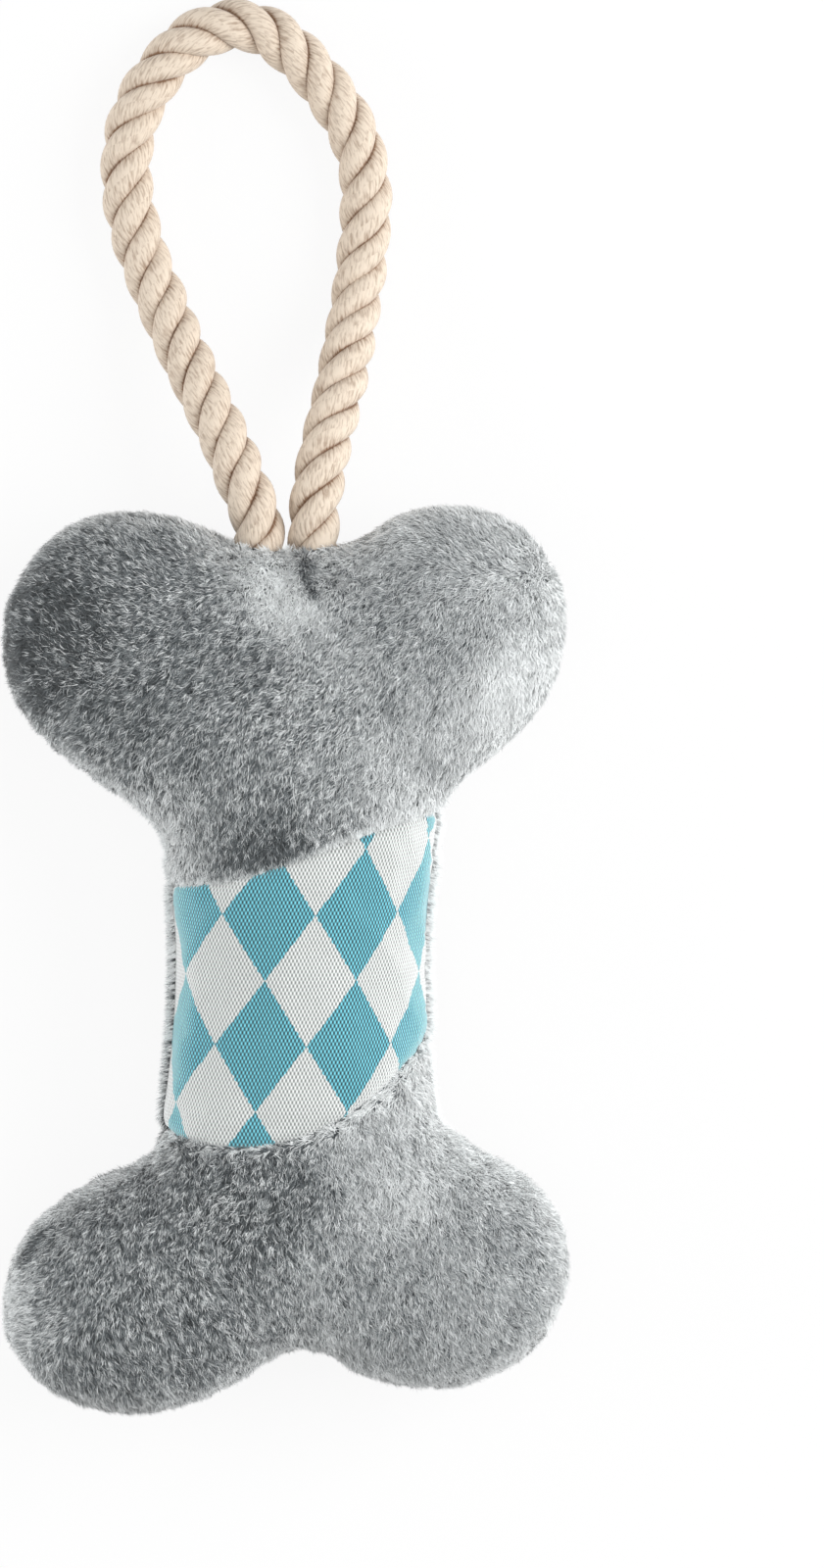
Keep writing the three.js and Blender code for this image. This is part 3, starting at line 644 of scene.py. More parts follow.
# Where the bone rests on the floor, its cloth lies this share of the pile's depth above it. The band rises to the
# canvas's depth over the first reach from its seams, and the back lies as deep as the front over the second from
# the outline.
RESTING_SHARE = 0.5
CANVAS_RISE_REACH = 2 * MM
EDGE_DEPTH_REACH = 5 * MM

# Where the legs of the rope come out between front and back: how high each side stands off the seam's plane, as a
# share of the rope, how much it dips between the legs, how far it reaches beside them, and how far the cloth's
# edge is carried out along them. Both set in over a run along the bone. The back stays shut under the least mouth.
MOUTH_SHARE = 0.6
MOUTH_DIP = 0.3
MOUTH_REACH = 6 * MM
MOUTH_START, MOUTH_RUN = 0.085, 0.008
MOUTH_CARRY = 2.6 * MM
CARRY_START, CARRY_RUN = 0.095, 0.005
LEAST_MOUTH = 0.05 * MM


@lru_cache
def stuffed_skin():
    """The cloth of the stuffed bone, front and back."""
    body = bpy.context.scene.plush_bone_body
    flat = flat_bone()
    lift = lift_shares(flat)
    count = len(flat.points)
    rises = (body.front_rise, -body.back_rise)
    points = np.concatenate([np.column_stack([flat.points, SEAM_HEIGHT + rise * lift]) for rise in rises])
    back_index = np.where(flat.edge, np.arange(count), np.arange(count) + count)
    closed = np.concatenate([flat.triangles, back_index[flat.triangles][:, ::-1]])
    normals = vertex_normals(points, closed)
    normals[:count][flat.edge, 2] = 0
    normals[count:][flat.edge] = normals[:count][flat.edge]
    normals = unit(normals)
    points -= cloth_depths(flat)[:, None] * normals
    points += gathers(flat, lift)[:, None] * normals
    points = swell_cloth(points, closed, flat)
    points[:, 2] = np.maximum(points[:, 2], RESTING_SHARE * body.pile_depth)
    normals = vertex_normals(points, closed)
    normals[count:][flat.edge] = normals[:count][flat.edge]
    front, back = points[:count], points[count:]
    back[flat.edge] = front[flat.edge]
    opening = rope_mouth(flat.points)
    front[:, 2] = np.maximum(front[:, 2], SEAM_HEIGHT + opening)
    back[:, 2] = np.where(opening > LEAST_MOUTH, np.minimum(back[:, 2], SEAM_HEIGHT - opening), back[:, 2])
    carried = MOUTH_CARRY * np.clip(opening / opening.max(), 0, 1) * ramp(flat.points[:, 1], CARRY_START, CARRY_RUN)
    front[:, 1] += carried
    back[:, 1] += carried
    return Skin((front, back), (normals[:count], normals[count:]))


def rope_mouth(points):
    """How far front and back part at the seam to let the two legs of the rope through."""
    leg = abs(ROPE_EXIT[0])
    beside = np.clip(np.abs(points[:, 0]) - leg, 0, None)
    between = np.clip(leg - np.abs(points[:, 0]), 0, None)
    diameter = bpy.context.scene.plush_bone_rope.diameter
    height = MOUTH_SHARE * diameter * near(beside, MOUTH_REACH) - MOUTH_DIP * between
    return height * ramp(points[:, 1], MOUTH_START, MOUTH_RUN)


def cloth_depths(flat):
    """How deep the cloth lies in the body's outer surface, for the front and then the back: as deep as the pile
    that stands on it, and hardly at all where it is bare canvas."""
    body = bpy.context.scene.plush_bone_body
    from_edge, from_band = distances_from_seams()
    bare = np.zeros(len(flat.points))
    bare[np.unique(flat.triangles[flat.region == WAIST])] = 1
    bare *= 1 - fade(from_band, CANVAS_RISE_REACH)
    front = body.pile_depth + (body.canvas_depth - body.pile_depth) * bare
    back = body.pile_depth + (front - body.pile_depth) * near(from_edge, EDGE_DEPTH_REACH)
    return np.concatenate([front, back])


@lru_cache
def distances_from_seams():
    """How far each flat point is from the outline and from the band's seams."""
    flat = flat_bone()
    groups = (flat.edge, flat.upper_seam | flat.lower_seam)
    return [distances(flat.points, flat.points[group]) for group in groups]


# What the seams and the stuffing do to the cloth: how fine the ripples by a seam and the broad lumps are, the
# ripples' height in puckers and their reach by the outline and by the band, the lumps' height, how deep the outline
# and the band's seams are drawn in and how far that reaches, and where it isn't, which is by the sides of the band.
RIPPLES_PER_METRE = 130
LUMPS_PER_METRE = 38
EDGE_RIPPLE, EDGE_RIPPLE_START, EDGE_RIPPLE_REACH = 2.4, 0.002, 0.009
BAND_RIPPLE, BAND_RIPPLE_REACH = 1.2, 0.007
LUMP_HEIGHT = 0.0011
EDGE_DRAWN_IN, EDGE_DRAWN_REACH = 0.0008, 0.0012
BAND_DRAWN_IN, BAND_DRAWN_REACH = 0.0009, 0.0011
BAND_SIDE_BELOW, BAND_SIDE_HALF = 0.01, 0.035

# The folds by the rope: how deep they are, how many go to a turn and how far round the first is, where they run
# out from, how far off they start and how far they reach. The back has them only half as deep.
FOLD_DEPTH, FOLDS, FIRST_FOLD = 0.0016, 5.2, 0.9
FOLD_ORIGIN = (0.001, UPPER_NOTCH.along + 0.002)
FOLD_START, FOLD_REACH = 0.004, 0.016
BACK_FOLD_SHARE = 0.5


def gathers(flat, lift):
    """How far seams and their gathers move the cloth along its normal, for the front and then the back."""
    pucker = bpy.context.scene.plush_bone_body.pucker
    from_edge, from_band = distances_from_seams()
    ripple = np.array([noise.noise(Vector((*point, 0)) * RIPPLES_PER_METRE) for point in flat.points])
    broad = np.array([noise.noise(Vector((*point, 0.3)) * LUMPS_PER_METRE) for point in flat.points])
    near_edge = near(from_edge, EDGE_RIPPLE_REACH) * (1 - fade(from_edge, EDGE_RIPPLE_START))
    near_band = near(from_band, BAND_RIPPLE_REACH)
    folds = rope_gathers(flat.points)
    front = pucker * (EDGE_RIPPLE * ripple * near_edge + BAND_RIPPLE * ripple * near_band) + LUMP_HEIGHT * broad * lift
    past_band = np.abs(flat.points[:, 1] + BAND_SIDE_BELOW) > BAND_SIDE_HALF
    drawn_in = EDGE_DRAWN_IN * fade(from_edge, EDGE_DRAWN_REACH) * past_band
    front -= BAND_DRAWN_IN * fade(from_band, BAND_DRAWN_REACH) + folds + drawn_in
    back = EDGE_RIPPLE * pucker * ripple * near_edge - LUMP_HEIGHT * broad * lift
    return np.concatenate([front, back - BACK_FOLD_SHARE * folds - drawn_in])


def rope_gathers(points):
    """Depth of the folds that run out from where the rope is sewn in."""
    from_rope = points - FOLD_ORIGIN
    distance = np.linalg.norm(from_rope, axis=1)
    angle = np.arctan2(from_rope[:, 0], -from_rope[:, 1])
    depth = 0.5 + 0.5 * np.cos(angle * FOLDS + FIRST_FOLD)
    return FOLD_DEPTH * depth * near(distance, FOLD_REACH) * (1 - fade(distance, FOLD_START))


# The cloth simulation: its frames, how far from the rope the cloth is held, and how far it may sink in
SWELL_FRAMES = 20
HELD_BY_ROPE = 0.014
SINK_LIMIT = 0.2 * MM
CLOTH_SETTINGS = {
    "quality": 5,
    "mass": 0.2,
    "tension_stiffness": 25,
    "compression_stiffness": 25,
    "shear_stiffness": 12,
    "bending_stiffness": 0.4,
    "shrink_min": -0.01,
    "use_pressure": True,
    "uniform_pressure_force": 4,
}


def swell_cloth(points, triangles, flat):
    """Lets the stuffing's pressure fill the cloth out between its seams, which are held."""
    scene = bpy.context.scene
    used, packed = renumbered(triangles)
    cloth = mesh_object("cloth_under_pressure", points[used], packed)
    held = np.concatenate([flat.edge | flat.upper_seam | flat.lower_seam, flat.edge])
    held |= np.linalg.norm(np.tile(flat.points, (2, 1)) - (0, UPPER_NOTCH.along), axis=1) < HELD_BY_ROPE
    pins = cloth.vertex_groups.new(name="seams")
    pins.add(np.flatnonzero(held[used]).tolist(), 1, "REPLACE")
    modifier = cloth.modifiers.new("Cloth", "CLOTH")
    for name, value in CLOTH_SETTINGS.items():
        setattr(modifier.settings, name, value)
    modifier.settings.effector_weights.gravity = 0
    modifier.settings.vertex_group_mass = pins.name
    modifier.collision_settings.use_collision = False
    modifier.point_cache.frame_start = 1
    modifier.point_cache.frame_end = SWELL_FRAMES
    for number in range(1, SWELL_FRAMES + 1):
        scene.frame_set(number)
    swollen = cloth.evaluated_get(bpy.context.evaluated_depsgraph_get()).to_mesh()
    shift = read(swollen.vertices, "co", 3) - points[used]
    scene.frame_set(1)
    discard(cloth)
    distance = np.linalg.norm(shift, axis=1, keepdims=True)
    swell = scene.plush_bone_body.swell
    shift *= swell / (swell + distance)
    facing = vertex_normals(points, triangles)[used]
    inwards = np.minimum((shift * facing).sum(1, keepdims=True) + SINK_LIMIT, 0)
    result = points.copy()
    result[used] += shift - inwards * facing
    return result


def closed_sheet(name, side, triangles):
    """Cloth of a side as a closed mesh: its outer face, its inner face and the strip round its rim."""
    skin, thickness = stuffed_skin(), bpy.context.scene.plush_bone_body.cloth_thickness
    used, packed = renumbered(triangles)
    count = len(used)
    outer = skin.points[side][used]
    inner = outer - thickness * skin.normals[side][used]
    faces = [*packed.tolist(), *(packed[:, ::-1] + count).tolist()]
    faces += [(a, a + count, b + count, b) for a, b in rim_edges(packed).tolist()]
    return mesh_object(name, np.concatenate([outer, inner]), faces), used


def add_flat_map(piece, places):
    """A UV map in metres, from one place a point."""
    corner = read(piece.data.loops, "vertex_index", kind=np.int32)
    layer = piece.data.uv_layers.new(name="cloth")
    layer.data.foreach_set("uv", places[corner].astype(np.float32).ravel())


def dress(piece, material):
    piece.data.materials.clear()
    piece.data.materials.append(material)
    return piece


def ride_toy(piece, gives=False):
    """A piece moves with the toy. One of the front also gets a mesh of its own."""
    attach(piece, "toy")
    if gives:
        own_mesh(piece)


def plush_ground_material():
    """Polyester knit under cut pile: matt, with the loops of the knit in rows."""
    pile = bpy.context.scene.plush_bone_pile
    material, add, shader = new_material("polyester velour, knitted ground", {"Roughness": 0.9, "Sheen Weight": 0.3})
    place = add("ShaderNodeTexCoord").outputs["Object"]
    scaled = add("ShaderNodeMapping", {"Vector": place, "Scale": (1 / MM,) * 3})
    rows_per_mm = 1 / (pile.row_pitch / MM) / 2
    rows = add("ShaderNodeTexWave", (scaled, rows_per_mm, 1.5, 1.0), bands_direction="Y").outputs["Fac"]
    mottle = add("ShaderNodeTexNoise", (scaled, 0.9, 4.0))
    # The ground is mottled between the painted shade of the roots and the tips' colour
    shade = add("ShaderNodeMix", (mottle, pile.shaded_root_colour, pile.tip_colour), data_type="RGBA")
    relief = add("ShaderNodeBump", {"Strength": 0.6, "Distance": 0.3 * MM, "Height": rows})
    feed(shader, {"Base Color": shade, "Normal": relief})
    return material


def pile_material():
    """Cut polyester pile: matt fibres, with painted shade towards the root and a pale painted sheen at the tips."""
    pile = bpy.context.scene.plush_bone_pile
    material, add, shader = new_material(
        "polyester pile, cut and brushed", {"Roughness": 0.75, "Sheen Weight": 0.9, "Sheen Roughness": 0.45}
    )
    along, tint = (add("ShaderNodeAttribute", attribute_name=name).outputs["Fac"] for name in ("along", "tint"))
    place = add("ShaderNodeTexCoord").outputs["Object"]
    fibre = add("ShaderNodeTexNoise", (place, 0.45 / MM, 3.0))
    # Painted light and shade from the tone: where it is pale the tips' colour reaches down over the roots, and where it
    # is dark the tips are painted darker
    closed, painted_tip_shade, speck = (
        add("ShaderNodeMapRange", inputs)
        for inputs in ((tint, 0.35, 1.0, 0.0, 0.85), (tint, -1.0, 0.1, 0.3, 1.0), (fibre, 0.3, 0.7, 0.86, 1.12))
    )
    # Painted shade at the roots, which gives way to the tips' colour where the tone is painted pale
    rise = add("ShaderNodeMapRange", (along, 0.0, 0.6, 0.0, 1.0), interpolation_type="SMOOTHSTEP")
    rise = add("ShaderNodeMath", (rise, closed), operation="MAXIMUM")
    # Painted highlight: tufts seen from the side, as along the outline, are mixed towards the pale colour
    side_on = add("ShaderNodeLayerWeight", {"Blend": 0.5}).outputs["Facing"]
    rim = add("ShaderNodeMath", (side_on, 2.5), operation="POWER")
    painted_rim_and_tone = add("ShaderNodeMath", (rim, 0.9, tint), operation="MULTIPLY_ADD")
    pale = add("ShaderNodeMath", (rise, painted_rim_and_tone), operation="MULTIPLY", use_clamp=True)
    tip = add("ShaderNodeVectorMath", (pile.tip_colour[:3], painted_tip_shade), operation="SCALE")
    body = add("ShaderNodeMix", (rise, pile.shaded_root_colour, tip), data_type="RGBA")
    tipped = add("ShaderNodeMix", (pale, body, pile.painted_light_colour), data_type="RGBA")
    feed(shader, {"Base Color": add("ShaderNodeVectorMath", (tipped, speck), operation="SCALE")})
    return material


def tuft_mesh():
    """One tuft of pile, a unit high and a unit wide: a tapered blade that bends over towards its tip."""
    half = 0.5
    points = [(-half, 0, 0), (half, 0, 0), (-0.45 * half, -0.1, 0.6), (0.45 * half, -0.1, 0.6), (0, -0.42, 1)]
    tuft = mesh_object("tuft", points, [(0, 2, 3, 1), (2, 4, 3)])
    set_attribute(tuft, "along", [point[2] for point in points])
    return tuft


def new_tree(name, sizes):
    """A Geometry Nodes tree, what adds a node to it, and what comes in: a mesh, some sizes and a seed."""
    tree = bpy.data.node_groups.new(name, "GeometryNodeTree")
    for size, kind in {"Geometry": "Geometry", **dict.fromkeys(sizes, "Float"), "Seed": "Int"}.items():
        tree.interface.new_socket(size, in_out="INPUT", socket_type=f"NodeSocket{kind}")
    tree.interface.new_socket("Geometry", in_out="OUTPUT", socket_type="NodeSocketGeometry")
    return tree, partial(add_node, tree), add_node(tree, "NodeGroupInput").outputs


def copies(add, model, points, turned, scale):
    """Copies of a model's mesh on points of a tree."""
    mesh = add("GeometryNodeObjectInfo", {"Object": model}).outputs["Geometry"]
    inputs = {"Points": points, "Instance": mesh, "Rotation": turned, "Scale": scale}
    return add("GeometryNodeInstanceOnPoints", inputs)


def close_tree(add, instances, material):
    """Makes the copies of a tree real, gives them their material and ends the tree."""
    realized = add("GeometryNodeRealizeInstances", (instances,))
    finished = add("GeometryNodeSetMaterial", {"Geometry": realized, "Material": material})
    add("NodeGroupOutput", (finished,))


def pile_tree(tuft, material):
    """Geometry Nodes that plant tufts on a cloth, leaning the way that it was brushed."""
    tree, add, given = new_tree("Plush pile", ("Density", "Length", "Width", "Lean", "Row pitch"))
    cover, knit, paleness, spill, contrast = (
        add("GeometryNodeInputNamedAttribute", {"Name": name}, data_type="FLOAT")
        for name in ("cover", "knit", "paleness", "spill", "contrast")
    )
    brushed = add("GeometryNodeInputNamedAttribute", {"Name": "brushed"}, data_type="FLOAT_VECTOR")
    place = add("GeometryNodeInputPosition")
    crowd = add("ShaderNodeMath", (cover, given["Density"]), operation="MULTIPLY")
    planted = add(
        "GeometryNodeDistributePointsOnFaces",
        {"Mesh": given["Geometry"], "Density": crowd, "Seed": given["Seed"]},
        distribute_method="RANDOM",
    )
    normal = planted.outputs["Normal"]
    # Swirls a few millimetres across, and strays of single tufts
    swirl = add("ShaderNodeTexNoise", (place, 260.0, 1.0)).outputs["Color"]
    swirled = add("ShaderNodeVectorMath", (swirl, (2.2,) * 3, (-1.1,) * 3), operation="MULTIPLY_ADD")
    stray = add(
        "FunctionNodeRandomValue", {0: (-0.3,) * 3, 1: (0.3,) * 3, "Seed": given["Seed"]}, data_type="FLOAT_VECTOR"
    )
    # Rows of the knit, which part the pile into ridges
    row_way = (-0.14, 0.99, 0.0)
    ahead = add("ShaderNodeVectorMath", (place, row_way), operation="DOT_PRODUCT")
    turns = add("ShaderNodeMath", (ahead, given["Row pitch"]), operation="DIVIDE")
    warp = add("ShaderNodeTexNoise", (place, 110.0, 1.0))
    warped = add("ShaderNodeMath", (warp, 1.2, turns), operation="MULTIPLY_ADD")
    angle = add("ShaderNodeMath", (warped, TURN), operation="MULTIPLY")
    wave = add("ShaderNodeMath", (angle,), operation="SINE")
    ridged = add("ShaderNodeMath", (wave, knit), operation="MULTIPLY")
    ridge = add("ShaderNodeVectorMath", (row_way, ridged), operation="SCALE")
    lie = brushed
    for part in (swirled, ridge):
        lie = add("ShaderNodeVectorMath", (lie, part), operation="ADD")
    lie = add("ShaderNodeVectorMath", (lie,), operation="NORMALIZE")
    leaning = add("ShaderNodeMix", (given["Lean"], normal, lie), data_type="VECTOR")
    heading = add("ShaderNodeVectorMath", (leaning, stray), operation="ADD")
    # Pile that spills over a seam turns its broad side up
    raised = add("ShaderNodeVectorMath", ((0.0, 0.0, 2.0), spill), operation="SCALE")
    soft = add("ShaderNodeVectorMath", (normal, raised), operation="ADD")
    soft = add("ShaderNodeVectorMath", (soft,), operation="NORMALIZE")
    turned = add("FunctionNodeAlignRotationToVector", {"Vector": heading}, axis="Z")
    turned = add("FunctionNodeAlignRotationToVector", {"Rotation": turned, "Vector": soft}, axis="Y", pivot_axis="Z")
    roll = add("FunctionNodeRandomValue", {0: -0.7, 1: 0.7, "Seed": given["Seed"]}, data_type="FLOAT")
    roll = add("FunctionNodeAxisAngleToRotation", {"Axis": (0, 0, 1), "Angle": roll})
    turned = add("FunctionNodeRotateRotation", (turned, roll), rotation_space="LOCAL")
    size = add("FunctionNodeRandomValue", {0: 0.72, 1: 1.12, "Seed": 5}, data_type="FLOAT")
    long = add("ShaderNodeMath", (size, given["Length"]), operation="MULTIPLY")
    long = add("ShaderNodeMath", (long, cover), operation="MULTIPLY")
    scale = add("ShaderNodeCombineXYZ", (given["Width"], given["Length"], long))
    marked = copies(add, tuft, planted.outputs["Points"], turned, scale)
    # How pale a tuft is: how pale it is painted, partly its lay and partly painted light and shade, then patches a
    # centimetre across, flecks of two or three tufts, the tuft itself and its ridge
    patch = add("ShaderNodeTexNoise", (place, 70.0, 2.0))
    fleck = add("ShaderNodeTexNoise", (place, 1500.0, 0.0))
    own = add("FunctionNodeRandomValue", {0: 0.0, 1: 1.0, "Seed": 9}, data_type="FLOAT")
    fleck = add("ShaderNodeMath", (fleck, 0.5), operation="SUBTRACT")
    fleck = add("ShaderNodeMath", (fleck, contrast), operation="MULTIPLY")
    tint = paleness
    for source, amount in ((patch, 0.6), (fleck, 3.2), (own, 0.6), (ridged, 1.1)):
        tint = add("ShaderNodeMath", (source, amount, tint), operation="MULTIPLY_ADD")
    tint = add("ShaderNodeMath", (tint, 0.2), operation="SUBTRACT")
    for name, kind, value in (("tint", "FLOAT", tint), ("skin_normal", "FLOAT_VECTOR", soft)):
        marked = add(
            "GeometryNodeStoreNamedAttribute",
            {"Geometry": marked, "Name": name, "Value": value},
            data_type=kind,
            domain="INSTANCE",
        )
    close_tree(add, marked, material)
    return tree


def grown(name, carrier, tree, values):
    """The piece that a Geometry Nodes tree makes of a carrier, which is then gone."""
    modifier = carrier.modifiers.new(tree.name, "NODES")
    modifier.node_group = tree
    for item in tree.interface.items_tree:
        if item.item_type == "SOCKET" and item.in_out == "INPUT" and item.name in values:
            modifier[item.identifier] = values[item.name]
    bpy.context.view_layer.update()
    mesh = bpy.data.meshes.new_from_object(carrier.evaluated_get(bpy.context.evaluated_depsgraph_get()))
    carrier.modifiers.remove(modifier)
    discard(carrier)
    shade_smooth(mesh)
    return place_in_scene(name, mesh)


# The pile by the seams. On the front: how much is trodden down by the band and how strong the painted highlight is
# there, each with what comes on top above the waist, and how strong the painted highlight is by the outline. On the
# back: how much more of it stands by the edge of the waist, how strong its painted highlight is, and the painted
# highlight along the edge all round. Each has its reach.
TRODDEN, TRODDEN_MORE, TRODDEN_REACH = 0.2, 0.2, 1.3 * MM
BAND_PALER, BAND_PALER_MORE = 2.0, 1.6
FRONT_EDGE_PALER, FRONT_EDGE_REACH = 1.5, 3.5 * MM
WAIST_MORE, WAIST_PALER, WAIST_EDGE_REACH = 0.15, 0.9, 1.6 * MM
WAIST_FULL, WAIST_FALL = 1.6, 30 * MM
BACK_EDGE_PALER, BACK_EDGE_REACH = 0.8, 3 * MM


def edge_tufts(flat, side):
    """What the seams do to the pile of a side: how much of it stands at each flat point, how far it spills over
    the edge, and how strong the painted highlight on its tips is along the seams and the outline."""
    from_edge, from_band = distances_from_seams()
    if side == FRONT:
        beside_band = fade(from_band, TRODDEN_REACH)
        above = (flat.points[:, 1] > 0).astype(float)
        painted_highlight = (BAND_PALER + BAND_PALER_MORE * above) * beside_band
        painted_highlight += FRONT_EDGE_PALER * fade(from_edge, FRONT_EDGE_REACH)
        return 1 - (TRODDEN_MORE * above + TRODDEN) * beside_band, np.zeros(len(flat.points)), painted_highlight
    waist_edge = fade(from_edge, WAIST_EDGE_REACH) * (from_band > 0)
    waist_edge *= np.clip(WAIST_FULL - np.abs(flat.points[:, 1]) / WAIST_FALL, 0, 1)
    painted_highlight = WAIST_PALER * waist_edge + BACK_EDGE_PALER * fade(from_edge, BACK_EDGE_REACH)
    return 1 + WAIST_MORE * waist_edge, waist_edge, painted_highlight


def brushing(points):
    """Which way the pile lies at each flat point, as a vector, and how pale it is painted: partly its lay, partly
    painted light and shade, with painted shade along the partings.
    """
    ways = np.array([(math.cos(math.radians(heading)), math.sin(math.radians(heading))) for heading in BRUSHES[:, 2]])
    distance = np.linalg.norm(points[:, None] - BRUSHES[None, :, :2], axis=2)
    weight = 1 / (distance**2 + BRUSH_REACH**2) ** 1.5
    weight /= weight.sum(1, keepdims=True)
    lies = weight @ BRUSHES[:, 3]
    # Painted shade along each parting
    for parting in PARTINGS:
        start, run = np.array(parting.start), np.subtract(parting.end, parting.start)
        share = np.clip((points - start) @ run / np.dot(run, run), 0, 1)
        beside = np.linalg.norm(points - start - share[:, None] * run, axis=1)
        lies -= parting.darkness * near(beside, parting.reach)
    return unit(weight @ ways), lies


def knit_shows(points):
    """How strongly the rows of the knit part the pile at each flat point."""
    return sum(
        strength * near(np.linalg.norm(points - (across, along), axis=1), reach)
        for across, along, reach, strength in KNIT_PATCHES
    )


# How strongly the pile flares out over a panel's rim, on the outline and on a seam of the band, and how far in
OUTLINE_FLARE, BAND_FLARE, FLARE_REACH = 0.4, 1.6, 2.2 * MM


def flare(flat, faces):
    """The way out of a panel in the flat by its rim, so that its pile spills over the seams of the band."""
    rim = rim_edges(faces)
    start, end = flat.points[rim[:, 0]], flat.points[rim[:, 1]]
    middles = (start + end) / 2
    tangent = unit(end - start)
    outwards = np.stack([tangent[:, 1], -tangent[:, 0]], axis=1)
    strength = np.where(flat.edge[rim].all(1), OUTLINE_FLARE, BAND_FLARE)
    result = np.zeros_like(flat.points)
    for place in np.unique(faces):
        distance = np.linalg.norm(middles - flat.points[place], axis=1)
        nearest = int(distance.argmin())
        result[place] = outwards[nearest] * strength[nearest] * math.exp(-distance[nearest] / FLARE_REACH)
    return result


PANELS = {
    "front_upper_panel": (FRONT, UPPER),
    "front_lower_panel": (FRONT, LOWER),
    "back_panel": (BACK, None),
}


def panel_faces(flat, side, region):
    faces = flat.triangles if region is None else flat.triangles[flat.region == region]
    return faces if side == FRONT else faces[:, ::-1]


class PLUSHBONE_OT_plush_panels(bpy.types.Operator):
    """Make the knitted ground of the three plush panels"""

    bl_idname = "plush_bone.plush_panels"
    bl_label = "Plush panels"

    def execute(self, context):
        material = plush_ground_material()
        for name, (side, region) in PANELS.items():
            sheet, _ = closed_sheet(name.replace("panel", "plush"), side, panel_faces(flat_bone(), side, region))
            dress(sheet, material)
            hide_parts(name)
            ride_toy(sheet, side == FRONT)
        return {"FINISHED"}


# The pile of a panel is made in parts, so that none grows too heavy: how far across the middle one reaches
MIDDLE_REACH = 0.022

# How strongly flecks show: by how pale the pile is painted, and by how far across it is, weaker towards the right
FLECKS_BY_PALENESS = ((-2, -0.3, 0.2, 0.9), (1.4, 1.15, 0.85, 0.45))
FLECKS_BY_ACROSS = ((-0.07, -0.05, 0, 0.035, 0.07), (0.75, 1, 1, 0.5, 0.4))
# Painted light from above: how much of its pale lay the pile shows on its side and what facing up adds, and how much of
# all that tints it
SIDE_SHOWN, FACING_SHOWN, TINTED = 0.35, 0.65, 0.5
SPILL_LIFT = 2.4
FIRST_SEED, SEED_STEP = 11, 7


def pile_parts(centres, side):
    """Which faces of a panel belong to each part of its pile."""
    parts = {
        "left": centres[:, 0] < -MIDDLE_REACH,
        "middle": np.abs(centres[:, 0]) <= MIDDLE_REACH,
        "right": centres[:, 0] > MIDDLE_REACH,
    }
    if side == FRONT:
        return parts
    ends = {"upper": centres[:, 1] >= 0, "lower": centres[:, 1] <= 0}
    return {f"{end}_{hand}": chosen & there for hand, chosen in parts.items() for end, there in ends.items()}


class PLUSHBONE_OT_pile(bpy.types.Operator):
    """Plant the pile on the plush panels"""

    bl_idname = "plush_bone.pile"
    bl_label = "Pile"

    def execute(self, context):
        pile = context.scene.plush_bone_pile
        flat, skin = flat_bone(), stuffed_skin()
        tuft = tuft_mesh()
        tree = pile_tree(tuft, pile_material())
        sizes = {"Length": pile.length, "Width": pile.width, "Lean": pile.lean, "Row pitch": pile.row_pitch}
        way, pale = brushing(flat.points)
        contrast = np.interp(pale, *FLECKS_BY_PALENESS) * np.interp(flat.points[:, 0], *FLECKS_BY_ACROSS)
        knit = knit_shows(flat.points)
        for name, (side, region) in PANELS.items():
            normals = skin.normals[side]
            faces = panel_faces(flat, side, region)
            cover, spill, painted_highlight = edge_tufts(flat, side)
            in_flat = way + flare(flat, panel_faces(flat, FRONT, region))
            lie = np.column_stack([in_flat, np.zeros(len(in_flat))])
            lie -= (lie * normals).sum(1, keepdims=True) * normals
            lie += SPILL_LIFT * spill[:, None] * (normals + (0, 0, 1))
            # Painted light from above: pale lay shows in full only where the cloth faces up; painted shade and dark lay
            # show everywhere
            shown = SIDE_SHOWN + FACING_SHOWN * np.clip(normals[:, 2], 0, 1)
            attributes = {
                "brushed": lie,
                "knit": knit,
                "paleness": TINTED * (np.where(pale > 0, shown, 1) * pale + painted_highlight),
                "spill": spill,
                "contrast": contrast,
                "cover": cover,
            }
            density = (pile.front_density, pile.back_density)[side] / MM2
            values = {**sizes, "Density": density, "Seed": FIRST_SEED + SEED_STEP * side}
            for part, chosen in pile_parts(flat.points[faces].mean(1), side).items():
                used, packed = renumbered(faces[chosen])
                ground = mesh_object("ground", skin.points[side][used], packed)
                for attribute, amounts in attributes.items():
                    set_attribute(ground, attribute, amounts[used])
                piece = grown(f"{name.replace('panel', 'pile')}_{part}", ground, tree, values)
                settle_pile(piece.data)
                ride_toy(piece, side == FRONT)
        discard(tuft)
        return {"FINISHED"}


# How much the way that a tuft takes light follows the cloth's facing and its own, and how low it may reach
CLOTH_FACING_SHARE, TUFT_FACING_SHARE = 0.72, 0.28
PILE_FOOT = 0.1 * MM


def settle_pile(mesh):
    """Presses the pile flat where it rests, and softens how it takes light towards the cloth's own facing."""
    points = read(mesh.vertices, "co", 3)
    points[:, 2] = np.maximum(points[:, 2], PILE_FOOT)
    mesh.vertices.foreach_set("co", points.ravel())
    mesh.update()
    cloth = read(mesh.attributes["skin_normal"].data, "vector", 3)
    own = read(mesh.vertex_normals, "vector", 3)
    soft = unit(CLOTH_FACING_SHARE * cloth + TUFT_FACING_SHARE * own)
    mesh.normals_split_custom_set_from_vertices([tuple(normal) for normal in soft])
    mesh.attributes.remove(mesh.attributes["skin_normal"])


